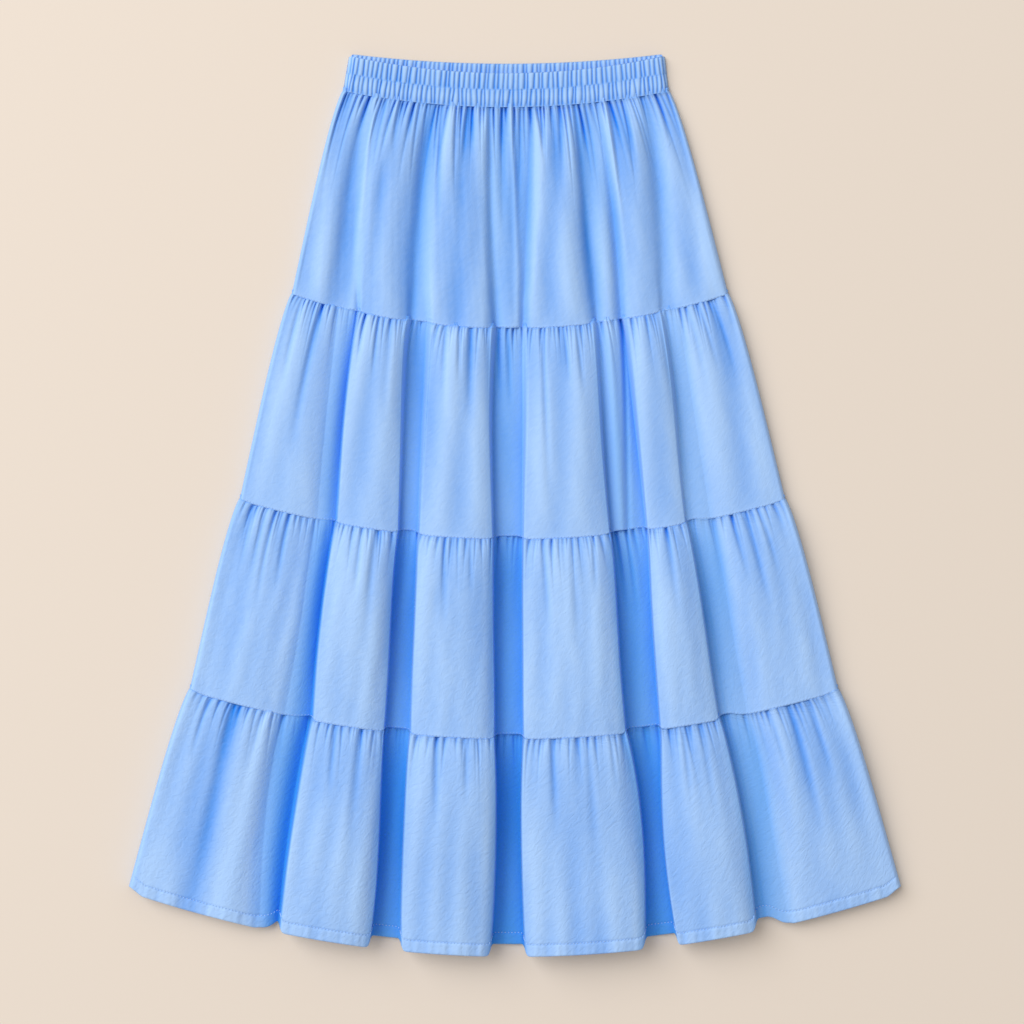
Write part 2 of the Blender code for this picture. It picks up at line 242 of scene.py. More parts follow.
# The creases seen in the photo, tier by tier: start, finish, top, reach, width and depth.
CREASES = (
    (
        Crease(8.0, 9.0, 0.0, 1.0, 6.0, 1.0),
        Crease(10.6, 14.3, 0.0, 1.0, 3.0, -1.4),
        Crease(18.0, 18.4, 0.0, 0.25, 2.2, 1.8),
        Crease(16.4, 16.8, 0.2, 1.0, 7.0, 1.3),
        Crease(22.0, 22.3, 0.0, 0.22, 2.2, 1.6),
        Crease(27.2, 27.0, 0.0, 1.0, 6.5, 1.6),
        Crease(30.5, 32.0, 0.0, 0.65, 2.8, 1.6),
        Crease(38.1, 37.7, 0.0, 0.3, 2.4, 1.8),
        Crease(37.5, 37.9, 0.2, 1.0, 7.0, 1.4),
        Crease(40.0, 40.3, 0.0, 0.22, 2.0, 1.4),
        Crease(44.8, 46.4, 0.0, 1.0, 4.2, 2.2),
        Crease(50.0, 47.6, 0.0, 0.9, 4.5, 1.3),
        Crease(51.5, 52.0, 0.0, 1.0, 3.0, -1.5),
        Crease(57.4, 53.6, 0.0, 1.0, 4.5, 2.0),
        Crease(60.8, 60.6, 0.0, 0.24, 2.2, 2.6),
        Crease(66.0, 64.6, 0.0, 0.36, 2.8, 1.8),
        Crease(70.4, 69.5, 0.0, 1.0, 4.0, 1.8),
        Crease(72.5, 72.4, 0.0, 0.26, 2.2, 1.6),
        Crease(77.9, 75.6, 0.0, 1.0, 4.2, 2.2),
        Crease(79.6, 78.6, 0.0, 0.9, 2.6, -1.2),
        Crease(81.2, 80.0, 0.0, 0.5, 2.8, 1.5),
        Crease(86.0, 84.2, 0.0, 0.4, 2.6, 1.6),
        Crease(91.2, 87.2, 0.0, 1.0, 6.5, 1.2),
        Crease(96.0, 95.6, 0.0, 0.3, 2.2, 1.2),
    ),
    (
        Crease(2.7, 3.0, 0.0, 0.5, 3.0, 1.3),
        Crease(7.0, 7.6, 0.0, 0.8, 3.6, 1.5),
        Crease(17.2, 17.8, 0.0, 0.26, 2.4, 1.3),
        Crease(20.2, 20.9, 0.0, 0.34, 2.4, 1.4),
        Crease(23.2, 24.4, 0.0, 0.6, 4.5, 1.1),
        Crease(35.6, 36.2, 0.0, 0.4, 3.0, 1.0),
        Crease(38.5, 38.9, 0.0, 0.3, 2.4, 1.5),
        Crease(41.0, 41.7, 0.0, 0.55, 4.0, 1.6),
        Crease(47.5, 47.9, 0.0, 0.4, 2.4, 1.4),
        Crease(49.5, 49.7, 0.0, 0.44, 2.6, 1.4),
        Crease(57.0, 57.4, 0.0, 0.95, 3.6, 1.4),
        Crease(62.5, 62.7, 0.0, 0.3, 2.4, 1.4),
        Crease(65.0, 65.1, 0.0, 0.36, 2.4, 1.4),
        Crease(75.0, 71.4, 0.0, 1.0, 2.6, 2.4),
        Crease(72.4, 69.6, 0.0, 1.0, 6.0, -2.4),
        Crease(83.6, 82.4, 0.0, 0.6, 4.0, 1.4),
        Crease(90.0, 90.4, 0.0, 0.5, 4.0, 1.0),
        Crease(93.2, 93.5, 0.0, 0.36, 2.4, 1.3),
        Crease(96.0, 96.3, 0.0, 0.45, 2.8, 1.2),
    ),
    (
        Crease(3.0, 3.3, 0.0, 0.4, 2.6, 1.2),
        Crease(5.0, 5.4, 0.0, 0.36, 2.4, 1.2),
        Crease(7.0, 7.6, 0.0, 0.6, 3.2, 1.4),
        Crease(9.3, 9.8, 0.0, 0.44, 2.6, 1.3),
        Crease(22.4, 23.2, 0.0, 0.4, 3.2, 1.2),
        Crease(25.4, 26.0, 0.0, 0.6, 4.2, 1.3),
        Crease(37.6, 38.4, 0.0, 0.55, 3.4, 1.2),
        Crease(42.2, 42.8, 0.0, 0.34, 2.8, 1.2),
        Crease(55.8, 56.2, 0.0, 0.5, 3.4, 1.3),
        Crease(60.6, 60.4, 0.0, 0.75, 5.0, 1.2),
        Crease(64.4, 64.2, 0.0, 0.34, 2.6, 1.2),
        Crease(69.0, 69.2, 0.0, 0.5, 2.6, 1.6),
        Crease(70.7, 70.6, 0.0, 0.5, 2.6, 1.6),
        Crease(77.8, 77.6, 0.0, 0.5, 3.6, 1.2),
        Crease(90.0, 90.4, 0.0, 0.4, 2.8, 1.2),
        Crease(92.0, 92.5, 0.0, 0.6, 3.4, 1.4),
        Crease(94.7, 95.2, 0.0, 0.4, 2.6, 1.3),
    ),
    (
        Crease(7.0, 7.9, 0.0, 1.0, 7.5, 1.8),
        Crease(12.0, 12.8, 0.0, 1.0, 10.0, -1.8),
        Crease(3.4, 3.7, 0.0, 0.35, 2.6, 1.2),
        Crease(22.6, 23.4, 0.0, 0.4, 3.2, 1.2),
        Crease(26.6, 27.4, 0.0, 0.7, 5.0, 1.2),
        Crease(38.4, 39.2, 0.0, 0.5, 3.6, 1.3),
        Crease(42.6, 42.9, 0.0, 0.36, 3.0, 1.1),
        Crease(55.6, 56.0, 0.0, 0.5, 3.6, 1.3),
        Crease(61.6, 61.3, 0.0, 0.7, 5.0, 1.2),
        Crease(64.8, 64.7, 0.0, 0.3, 2.8, 1.1),
        Crease(75.6, 75.2, 0.0, 0.45, 3.2, 1.2),
        Crease(78.8, 78.6, 0.0, 0.6, 4.6, 1.2),
        Crease(89.0, 89.2, 0.0, 0.4, 3.0, 1.1),
        Crease(92.0, 92.4, 0.0, 0.8, 5.0, 1.7),
        Crease(95.2, 95.6, 0.0, 0.45, 3.2, 1.3),
    ),
)

# The gathers, tier by tier: pitch, depth, width and reach. Fine ones first, then main and long ones.
TIER_PUCKERS = (
    (
        Puckers(4.9, (0.8, 1.7), (0.8, 1.2), (4.0, 13.0), growth=60.0, seed=31, taper=0.5),
        Puckers(8.4, (2.2, 4.6), (1.2, 2.1), (16.0, 56.0), growth=45.0, seed=21, taper=0.7, fade=1.7),
        Puckers(17.0, (1.0, 2.2), (1.3, 2.2), (50.0, 150.0), growth=16.0, seed=41),
    ),
    (
        Puckers(4.8, (1.1, 2.0), (0.8, 1.2), (3.0, 8.0), growth=60.0, seed=32, taper=0.4),
        Puckers(8.4, (1.8, 3.3), (1.3, 2.0), (8.0, 26.0), growth=60.0, seed=22, taper=0.7),
        Puckers(23.0, (1.2, 2.4), (1.5, 2.4), (26.0, 78.0), growth=16.0, seed=42),
    ),
    (
        Puckers(4.9, (1.1, 2.0), (0.8, 1.2), (3.0, 8.0), growth=60.0, seed=33, taper=0.4),
        Puckers(9.0, (1.8, 3.3), (1.3, 2.0), (8.0, 25.0), growth=60.0, seed=23, taper=0.7),
        Puckers(24.0, (1.2, 2.4), (1.5, 2.4), (26.0, 72.0), growth=16.0, seed=43),
    ),
    (
        Puckers(5.1, (1.1, 2.0), (0.9, 1.3), (3.0, 8.0), growth=60.0, seed=34, taper=0.4),
        Puckers(10.0, (1.9, 3.5), (1.4, 2.2), (8.0, 26.0), growth=60.0, seed=24, taper=0.7),
        Puckers(26.0, (1.2, 2.5), (1.6, 2.6), (26.0, 72.0), growth=16.0, seed=44),
    ),
)


def smooth_step(value: np.ndarray, start: float, finish: float) -> np.ndarray:
    """Return 0 below start, 1 above finish and a smooth rise between them."""
    share = np.clip((value - start) / (finish - start), 0.0, 1.0)
    return share * share * (3.0 - 2.0 * share)


def quarter_round(share: np.ndarray) -> np.ndarray:
    """Return the height of a quarter circle, from 0 where share is 0 to 1 where it is 1 or more."""
    inward = np.clip(share, 0.0, 1.0)
    return np.sqrt(1.0 - (1.0 - inward) ** 2)


def full_round(share: np.ndarray) -> np.ndarray:
    """Return the height of a squarer round, from 0 where share is 0 to 1 where it is 1 or more."""
    inward = np.clip(share, 0.0, 1.0)
    return np.cbrt(1.0 - (1.0 - inward) ** 3)


def soft_noise(across: np.ndarray, down: np.ndarray, scale: tuple[float, float], seed: int) -> np.ndarray:
    """Return smooth unevenness between about -1 and 1.

    Args:
        across: places across the cloth, in millimetres.
        down: places down the cloth, in millimetres.
        scale: the unevenness's size across and down, in millimetres.
        seed: the number that fixes its pattern.

    Returns:
        One value for each place.
    """
    chance = np.random.default_rng(seed)
    total = np.zeros(np.broadcast(across, down).shape)
    waves, spread = 9, 2.2
    for _ in range(waves):
        turn_across = chance.normal(0.0, 1.0) * math.tau / (spread * scale[0])
        turn_down = chance.normal(0.0, 1.0) * math.tau / (spread * scale[1])
        phase = chance.uniform(0.0, math.tau)
        total += np.sin(turn_across * across + turn_down * down + phase)
    return total / math.sqrt(waves)


def blurred(across: np.ndarray, values: np.ndarray, reach: float) -> np.ndarray:
    """Smooth the values of one row.

    Args:
        across: the row's places, rising, in millimetres.
        values: the value at each place.
        reach: how far each value spreads, in millimetres.

    Returns:
        The smoothed values at the same places.
    """
    even = np.arange(across[0], across[-1] + 1.0, 1.0)
    span = np.arange(-3.0 * reach, 3.0 * reach + 1.0)
    weights = np.exp(-0.5 * (span / reach) ** 2)
    padded = np.pad(np.interp(even, across, values), len(span) // 2, mode="edge")
    soft = np.convolve(padded, weights / weights.sum(), mode="same")[len(span) // 2 :][: len(even)]
    return np.interp(across, even, soft)


@dataclass(frozen=True)
class Row:
    """One row across the front: each point's place, height, share of a fold, depth and calm.

    standing is 1 on a fold and 0 in a valley. Its depth is the drop below the folds beside it in millimetres,
    with painted shade added on the shoulders, along the sides, at the foot of the walls and in some valleys,
    and calm how much of the small relief shows there.
    """

    across: np.ndarray
    height: np.ndarray
    standing: np.ndarray
    shade_depth: np.ndarray
    calm: np.ndarray


@dataclass(frozen=True)
class SkirtForm:
    """The large form of the skirt as it lies: its outline, large folds and valleys."""

    # How far a seam dips on a fold and lifts in a valley, from the waist to the hem.
    line_waves: tuple[float, ...] = (0.0, 1.1, 2.0, 2.8, 7.0)
    # The outline bulges between two seams and rounds down to the surface.
    side_bulge: float = 4.5
    bulge_power: float = 0.55
    side_depth: float = 14.0
    side_round: float = 4.5
    side_crowding: float = 1.8
    side_calm: float = 0.1
    # The walls of the valleys, from the waist to the hem.
    wall_widths: tuple[float, ...] = (9.0, 7.0, 1.8, 1.4, 1.3)
    wall_share: float = 0.45
    both_walls: float = 0.96
    narrow_wall: float = 9.0
    narrow_bend: float = 0.5
    wall_calm: float = 0.75
    # The folds between them, and how they stray from their lines.
    crown_share: float = 0.13
    widest_shoulder: float = 0.6
    top_tier_softness: float = 1.2
    edge_wander: float = 0.6
    edge_waves: float = 0.9
    edge_phase: float = 2.4
    crest_wander: float = 0.05
    crest_waves: float = 0.8
    crest_phase: float = 1.9
    corner_reach: tuple[float, float] = (6.0, 8.0)
    corner_lift: float = 0.13
    # Where painted shade darkens the cloth, as depths in millimetres: a painted contact shadow at the foot of
    # each wall, shade on the shoulders, along the sides and in some valleys.
    foot_shadow: float = 6.0
    foot_reach: float = 2.2
    shoulder_shade: float = 2.9
    side_shade: float = 10.0
    extra_shade_growth: float = 0.5
    extra_shade_rise: float = 1.6
    # How far the large form is smoothed across.
    standing_blur: tuple[float, ...] = (6.0, 4.0, 2.0, 1.3)
    deep_blur: float = 0.5
    top_blur: tuple[float, float, float] = (0.5, 6.5, 0.7)
    # A tier's columns are counted at this share of it, with at least so many on a flat strip and a wall.
    measured_share: float = 0.7
    least_steps: tuple[int, int] = (4, 12)
    # The photo's perspective, taken out: the camera's height and what stands under it.
    draw_in_height: float = 1536.0
    draw_in_centre: tuple[float, float] = (-3.2, -6.5)
    middle_y: float = 4.636

    def fullness(self, share: float) -> float:
        """Return how full a tier is, from 0 at its seams to 1 a little below the upper one."""
        return math.sin(math.pi * share**self.bulge_power)

    def ends(self, lines: tuple[Line, ...], tier: int, share: float) -> tuple[float, float]:
        """Find the outline's two sides.

        Args:
            lines: the seams of the front or the back.
            tier: 0 for the top tier to 3 for the lowest.
            share: 0 at the tier's upper seam to 1 at its lower one.

        Returns:
            The row's left and right ends.
        """
        upper, lower = lines[tier], lines[tier + 1]
        out = self.side_bulge * self.fullness(share)
        left = upper.left + (lower.left - upper.left) * share - out
        right = upper.right + (lower.right - upper.right) * share + out
        return left, right

    def along(self, values: tuple[float, ...], tier: int, share: float) -> float:
        """Return a fold edge's place at a share of a tier, on a curve through three of its values."""
        top, middle, bottom = values[2 * tier : 2 * tier + 3]
        return (
            top * (1.0 - share) * (1.0 - 2.0 * share)
            + middle * 4.0 * share * (1.0 - share)
            + bottom * share * (2.0 * share - 1.0)
        )

    def between(self, values: tuple[float, ...], tier: int, share: float) -> float:
        """Return a height at a share of a tier, straight from one seam to the next."""
        return values[tier] + (values[tier + 1] - values[tier]) * share

    def wander(self, edge: int, station: float) -> float:
        """Return how far a fold's edge strays from its line, in millimetres."""
        stray = math.sin(math.tau * self.edge_waves * station + self.edge_phase * edge)
        return self.edge_wander * stray * min(1.0, station)

    def crest(self, index: int, tier: int, share: float) -> float:
        """Find how high a large fold stands.

        Args:
            index: the fold's number.
            tier: 0 for the top tier to 3 for the lowest.
            share: 0 at the tier's upper seam to 1 at its lower one.

        Returns:
            Its height in millimetres.
        """
        fold = FOLDS[index]
        plain = self.between(fold.crest, tier, share) + fold.puff[tier] * self.fullness(share)
        stray = math.sin(math.tau * self.crest_waves * (tier + share) + self.crest_phase * index)
        return plain * (1.0 + self.crest_wander * stray)

    def strips(self, tier: int, share: float) -> list[tuple[Strip, float, float, int]]:
        """Cut a row into its sides, folds and valleys.

        Args:
            tier: 0 for the top tier to 3 for the lowest.
            share: 0 at the tier's upper seam to 1 at its lower one.

        Returns:
            Each strip's kind, its start and end across, and its fold's number.
        """
        left_end, right_end = self.ends(FRONT_LINES, tier, share)
        width = right_end - left_end
        station = tier + share
        widest = self.between(self.wall_widths, tier, share)
        found = [(Strip.LEFT_SIDE, left_end, left_end + self.side_depth, 0)]
        start = left_end + self.side_depth
        for index, fold in enumerate(FOLDS[:-1]):
            after = FOLDS[index + 1]
            end = left_end + width * self.along(fold.right, tier, share) / 100.0
            end += self.wander(2 * index, station)
            next_start = left_end + width * self.along(after.left, tier, share) / 100.0
            next_start += self.wander(2 * index + 1, station)
            valley = VALLEYS[index]
            gap = next_start - end
            wall = min(widest, self.wall_share * gap)
            fall = max(valley.fall * gap, min(wall, (self.both_walls - valley.climb) * gap))
            climb = max(valley.climb * gap, min(wall, (self.both_walls - valley.fall) * gap))
            found.append((Strip.TOP, start, end, index))
            found.append((Strip.FALL, end, end + fall, index))
            found.append((Strip.FLOOR, end + fall, next_start - climb, index))
            found.append((Strip.CLIMB, next_start - climb, next_start, index))
            start = next_start
        last = len(FOLDS) - 1
        found.append((Strip.TOP, start, right_end - self.side_depth, last))
        found.append((Strip.RIGHT_SIDE, right_end - self.side_depth, right_end, last))
        return found

    def rounding(self, index: int, side: int, tier: int, share: float, wide: float) -> tuple[float, float]:
        """Find how a fold's shoulder rounds down.

        Args:
            index: the fold's number.
            side: 0 for its left shoulder and 1 for its right one.
            tier: 0 for the top tier to 3 for the lowest.
            share: 0 at the tier's upper seam to 1 at its lower one.
            wide: the fold's width there.

        Returns:
            The drop and how far in it reaches, in millimetres.
        """
        beside = index - 1 + side
        if beside < 0 or beside > len(VALLEYS) - 1:
            return 0.0, 1.0
        station = tier + share
        shoulder = FOLDS[index].shoulders[side]
        floor = self.between(VALLEYS[beside].floor, tier, share)
        reach = shoulder.upper + (shoulder.lower - shoulder.upper) * station / len(TIER_PUCKERS)
        reach *= 1.0 + self.top_tier_softness * max(0.0, 1.0 - station)
        drop = shoulder.share * (self.crest(index, tier, share) - floor)
        return drop, min(reach, self.widest_shoulder * wide)

    def side_points(self, kind: Strip, start: float, end: float, crest: float, count: int) -> tuple:
        """Round the cloth down along one side of the skirt.

        Args:
            kind: the left or the right side.
            start: where the strip starts across.
            end: where it ends.
            crest: the height of the fold beside it.
            count: how many steps it is cut into.

        Returns:
            The fields of Row for the strip.
        """
        if kind is Strip.LEFT_SIDE:
            across = start + (end - start) * (np.arange(count) / count) ** self.side_crowding
            inward = across - start
        else:
            across = end - (end - start) * (1.0 - np.arange(count + 1) / count) ** self.side_crowding
            inward = end - across
        rise = full_round(inward / self.side_round)
        standing = 0.5 + 0.5 * inward / self.side_depth
        calm = np.clip(inward / self.side_round - self.side_calm, 0.0, 1.0)
        return across, crest * rise, standing, self.side_shade * (1.0 - rise), calm

    def fold_points(
        self, start: float, end: float, crest: float, rounds: list[tuple[float, float]], count: int
    ) -> tuple:
        """Crown a large fold and round its shoulders.

        Args:
            start: where the fold starts across.
            end: where it ends.
            crest: its height.
            rounds: the drop and reach of its left and right shoulders.
            count: how many steps it is cut into.

        Returns:
            The fields of Row for the strip.
        """
        part = np.arange(count) / count
        across = start + (end - start) * part
        height = crest + crest * self.crown_share * (1.0 - (2.0 * part - 1.0) ** 2)
        standing = np.ones(count)
        for side, inward in enumerate((across - start, end - across)):
            drop, reach = rounds[side]
            if drop > 0.0:
                height = height - drop * np.clip(1.0 - inward / reach, 0.0, 1.0) ** 2
                corner = np.clip(1.0 - inward / self.corner_reach[side], 0.0, 1.0)
                standing = standing - self.corner_lift * corner**2
        # Painted shade darkens the rounded shoulders.
        shade_depth = self.shoulder_shade * np.maximum(crest - height, 0.0)
        return across, height, standing, shade_depth, np.ones(count)

    def valley_points(
        self,
        strip: tuple[Strip, float, float, int],
        tier: int,
        share: float,
        drops: tuple[float, float],
        count: int,
    ) -> tuple:
        """Shape one wall of a valley, or its floor.

        Args:
            strip: its kind, start, end and fold's number.
            tier: 0 for the top tier to 3 for the lowest.
            share: 0 at the tier's upper seam to 1 at its lower one.
            drops: how far the shoulders on its left and right drop.
            count: how many steps it is cut into.

        Returns:
            The fields of Row for the strip.
        """
        kind, start, end, index = strip
        part = np.arange(count) / count
        across = start + (end - start) * part
        valley = VALLEYS[index]
        extra_shade = valley.extra_shade * min(1.0, (self.extra_shade_growth * (tier + share)) ** 2)
        floor = self.between(valley.floor, tier, share)
        crest, next_crest = self.crest(index, tier, share), self.crest(index + 1, tier, share)
        high, next_high = crest - drops[0], next_crest - drops[1]
        highest = max(crest, next_crest)
        is_narrow = end - start < self.narrow_wall
        bend = self.narrow_bend if is_narrow else 1.0
        calm = 1.0 - self.wall_calm * np.sin(math.pi * part)
        # The depth is painted shade: the drop below the folds, a painted contact shadow at the foot of each
        # wall, the shoulders' shade carried down the walls and extra shade in some valleys.
        if kind is Strip.FLOOR:
            height = floor + self.between(valley.ridge, tier, share) * np.sin(math.pi * part)
            away = np.minimum(across - start, end - across) / self.foot_reach
            shade_depth = highest - height + self.foot_shadow * np.exp(-away) + extra_shade
            return across, height, (height - floor) / (crest - floor), shade_depth, np.ones(count)
        if kind is Strip.FALL:
            share_up = 0.5 + 0.5 * np.cos(math.pi * part) if is_narrow else 1.0 - part**2
            height = floor + (high - floor) * share_up
            turned = self.shoulder_shade + (1.0 - self.shoulder_shade) * part
            shade_depth = turned * (crest - high) + (high - floor) * (1.0 - share_up) ** bend
            shade_depth = shade_depth + (highest - crest) * part
            shade_depth = shade_depth + extra_shade * np.minimum(1.0, self.extra_shade_rise * part)
        else:
            share_up = 0.5 - 0.5 * np.cos(math.pi * part)
            height = floor + (next_high - floor) * share_up
            turned = 1.0 + (self.shoulder_shade - 1.0) * part
            shade_depth = turned * (next_crest - next_high) + (next_high - floor) * (1.0 - share_up) ** bend
            shade_depth = shade_depth + (highest - next_crest + extra_shade) * (1.0 - part)
        return across, height, share_up * (1.0 - self.corner_lift), shade_depth, calm

    def row(self, tier: int, share: float, steps: tuple[int, ...]) -> Row:
        """Shape one row across the front.

        Args:
            tier: 0 for the top tier to 3 for the lowest.
            share: 0 at the tier's upper seam to 1 at its lower one.
            steps: how many steps each strip is cut into.

        Returns:
            The row.
        """
        found = self.strips(tier, share)
        rounds = []
        for kind, start, end, index in found:
            if kind is Strip.TOP:
                rounds.append([self.rounding(index, side, tier, share, end - start) for side in (0, 1)])
        pieces = []
        for strip, count in zip(found, steps):
            kind, start, end, index = strip
            crest = self.crest(index, tier, share)
            if kind in (Strip.LEFT_SIDE, Strip.RIGHT_SIDE):
                pieces.append(self.side_points(kind, start, end, crest, count))
            elif kind is Strip.TOP:
                pieces.append(self.fold_points(start, end, crest, rounds[index], count))
            else:
                drops = (rounds[index][1][0], rounds[index + 1][0][0])
                pieces.append(self.valley_points(strip, tier, share, drops, count))
        across, height, standing, shade_depth, calm = (np.concatenate(item) for item in zip(*pieces))
        standing = blurred(across, standing, self.standing_blur[tier])
        if tier == 0 and share < 1.0:
            least, added, power = self.top_blur
            reach = least + added * (1.0 - share) ** power
            inward = np.minimum(across - across[0], across[-1] - across)
            held = 1.0 - smooth_step(inward, self.side_round, self.side_round + 3.0 * reach)
            height = height * held + blurred(across, height, reach) * (1.0 - held)
            shade_depth = shade_depth * held + blurred(across, shade_depth, reach) * (1.0 - held)
            calm = calm * held + (1.0 - held)
        return Row(across, height, standing, blurred(across, shade_depth, self.deep_blur), calm)

    def steps(self, tier: int, spacing: float) -> tuple[int, ...]:
        """Share out the columns of a tier.

        Args:
            tier: 0 for the top tier to 3 for the lowest.
            spacing: the distance between two columns, in millimetres.

        Returns:
            How many steps each strip takes, the same in all the tier's rows.
        """
        found = []
        for kind, start, end, _ in self.strips(tier, self.measured_share):
            least = self.least_steps[0] if kind in (Strip.TOP, Strip.FLOOR) else self.least_steps[1]
            found.append(max(least, round((end - start) / spacing)))
        return tuple(found)

    def drawn_in(self, points: np.ndarray) -> np.ndarray:
        """Draw the points in towards the middle as they rise, and centre them along the skirt.

        Args:
            points: the points as the photo shows them.

        Returns:
            The points as they lie.
        """
        centre = np.array(self.draw_in_centre)
        moved = points.copy()
        shrink = 1.0 - points[..., 2:] / self.draw_in_height
        moved[..., :2] = centre + (points[..., :2] - centre) * shrink
        moved[..., 1] -= self.middle_y
        return moved


FORM = SkirtForm()


def srgb(code: str) -> tuple[float, float, float, float]:
    """Turn a colour's sRGB hex code into linear values.

    Args:
        code: the colour as #RRGGBB.

    Returns:
        Red, green, blue and a full alpha, each from 0 to 1.
    """
    values = [int(code[i : i + 2], 16) / 255.0 for i in (1, 3, 5)]
    linear = [v / 12.92 if v <= 0.04045 else ((v + 0.055) / 1.055) ** 2.4 for v in values]
    return (*linear, 1.0)


def add_node(
    material: bpy.types.Material,
    kind: str,
    settings: dict[str, object] | None = None,
    values: dict[str, object] | None = None,
    links: dict[str, bpy.types.NodeSocket] | None = None,
) -> bpy.types.Node:
    """Add a node to a material.

    Args:
        material: the material that gets the node.
        kind: the node's type name.
        settings: the node's own settings by name.
        values: the values of its inputs by name or number.
        links: the outputs that feed its inputs by name or number.

    Returns:
        The new node.
    """
    node = material.node_tree.nodes.new(kind)
    for name, value in (settings or {}).items():
        setattr(node, name, value)
    for name, value in (values or {}).items():
        node.inputs[name].default_value = value
    for name, socket in (links or {}).items():
        material.node_tree.links.new(socket, node.inputs[name])
    return node


@dataclass(frozen=True)
class Pattern:
    """A soft uneven pattern: its size in millimetres, its detail and how far it is twisted."""

    size_mm: float
    detail: float
    twist: float


@dataclass(frozen=True)
class WashedCotton:
    """Plain-woven cotton, piece dyed light blue and garment washed."""

    # Washing leaves it matt, slightly fuzzy and finely crinkled. Painted shade darkens it in the large folds,
    # the small grooves, under the seams and along the crinkles, and a painted highlight lightens small
    # ridges.
    name: str = "washed_cotton"
    # The cloth's own colour, lightest as the painted highlight on ridges, then the painted shade of the large
    # folds and of the small grooves.
    cloth_and_highlight: str = "#AACFFF"
    fold_shade_colour: str = "#3C99EC"
    crease_shade_colour: str = "#2286EE"
    roughness: float = 0.88
    specular: float = 0.15
    sheen: float = 0.15
    sheen_roughness: float = 0.45
    pattern_roughness: float = 0.6
    # Real threads are 0.3 mm apart. They are drawn at 0.9 mm so that they show at all.
    thread_mm: float = 0.9
    thread_bump: tuple[float, float] = (0.1, 0.2)
    crinkle: Pattern = Pattern(size_mm=4.6, detail=3.0, twist=0.6)
    crinkle_turn: float = -0.6
    crinkle_stretch: float = 1.7
    crinkle_bump: tuple[float, float] = (0.9, 1.0)
    # The crinkle pattern also paints shade and light into the colour.
    crinkle_shade: float = 0.2
    grain: Pattern = Pattern(size_mm=2.4, detail=2.0, twist=0.0)
    grain_bump: tuple[float, float] = (0.45, 0.3)
    cloud: Pattern = Pattern(size_mm=60.0, detail=3.0, twist=0.0)
    hollow_mottle: float = 0.06
    groove_mottle: float = 0.05

    def make(self) -> bpy.types.Material:
        """Build the material. A bump is a strength and a height in millimetres.

        Returns:
            The material.
        """
        cloth = bpy.data.materials.new(self.name)
        cloth.use_nodes = True
        shader = cloth.node_tree.nodes["Principled BSDF"]
        shader.inputs["Roughness"].default_value = self.roughness
        shader.inputs["Sheen Weight"].default_value = self.sheen
        shader.inputs["Sheen Roughness"].default_value = self.sheen_roughness
        shader.inputs["Specular IOR Level"].default_value = self.specular
        cut = add_node(cloth, "ShaderNodeUVMap", {"uv_map": "cut"}).outputs["UV"]
        turned = {"Rotation": (0.0, 0.0, self.crinkle_turn), "Scale": (1.0, self.crinkle_stretch, 1.0)}
        mapping = add_node(cloth, "ShaderNodeMapping", {"vector_type": "TEXTURE"}, turned, {"Vector": cut})
        slanted = mapping.outputs["Vector"]
        marks = {}
        for name in ("fold_shade", "groove", "worn"):
            settings = {"attribute_name": name, "attribute_type": "GEOMETRY"}
            marks[name] = add_node(cloth, "ShaderNodeAttribute", settings).outputs["Fac"]
        noises = []
        for pattern, place in ((self.crinkle, slanted), (self.grain, cut), (self.cloud, cut)):
            values = {"Scale": 1.0 / (pattern.size_mm * MM), "Detail": pattern.detail}
            values.update({"Roughness": self.pattern_roughness, "Distortion": pattern.twist})
            noise = add_node(cloth, "ShaderNodeTexNoise", values=values, links={"Vector": place})
            noises.append(noise.outputs["Fac"])
        crinkle, grain, cloud = noises
        threads = []
        for direction in ("X", "Y"):
            settings = {"bands_direction": direction, "wave_profile": "SIN"}
            values = {"Scale": math.tau / (WAVE_TURN * self.thread_mm * MM)}
            wave = add_node(cloth, "ShaderNodeTexWave", settings, values, {"Vector": cut})
            threads.append(wave.outputs["Fac"])
        products = []
        for pair in ((crinkle, marks["worn"]), threads):
            links = dict(enumerate(pair))
            product = add_node(cloth, "ShaderNodeMath", {"operation": "MULTIPLY"}, links=links)
            products.append(product.outputs[0])
        worn_crinkle, weave = products

        # Each mark is how much painted shade the cloth takes, made uneven by the patterns: the first in the
        # small grooves and under the seams, with a painted highlight on small ridges, the second in the large
        # folds.
        colour = None
        for share, shade_colour, patterns in (
            (marks["groove"], self.crease_shade_colour, ((crinkle, self.crinkle_shade), (cloud, self.groove_mottle))),
            (marks["fold_shade"], self.fold_shade_colour, ((cloud, self.hollow_mottle),)),
        ):
            for pattern, amount in patterns:
                settings, evened = {"operation": "MULTIPLY_ADD"}, {1: amount, 2: -0.5 * amount}
                uneven = add_node(cloth, "ShaderNodeMath", settings, evened, {0: pattern})
                settings, links = {"operation": "ADD", "use_clamp": True}, {0: share, 1: uneven.outputs[0]}
                share = add_node(cloth, "ShaderNodeMath", settings, links=links).outputs[0]
            colours = {MIX_FIRST: srgb(self.cloth_and_highlight), MIX_SECOND: srgb(shade_colour)}
            links = {MIX_SHARE: share}
            if colour is not None:
                links[MIX_FIRST] = colour
            mixed = add_node(cloth, "ShaderNodeMix", {"data_type": "RGBA"}, colours, links)
            colour = mixed.outputs[MIXED]
        cloth.node_tree.links.new(colour, shader.inputs["Base Color"])

        normal = None
        for height, (strength, height_mm) in (
            (worn_crinkle, self.crinkle_bump),
            (grain, self.grain_bump),
            (weave, self.thread_bump),
        ):
            values = {"Strength": strength, "Distance": height_mm * MM}
            links = {"Height": height} if normal is None else {"Height": height, "Normal": normal}
            normal = add_node(cloth, "ShaderNodeBump", values=values, links=links).outputs["Normal"]
        cloth.node_tree.links.new(normal, shader.inputs["Normal"])
        return cloth


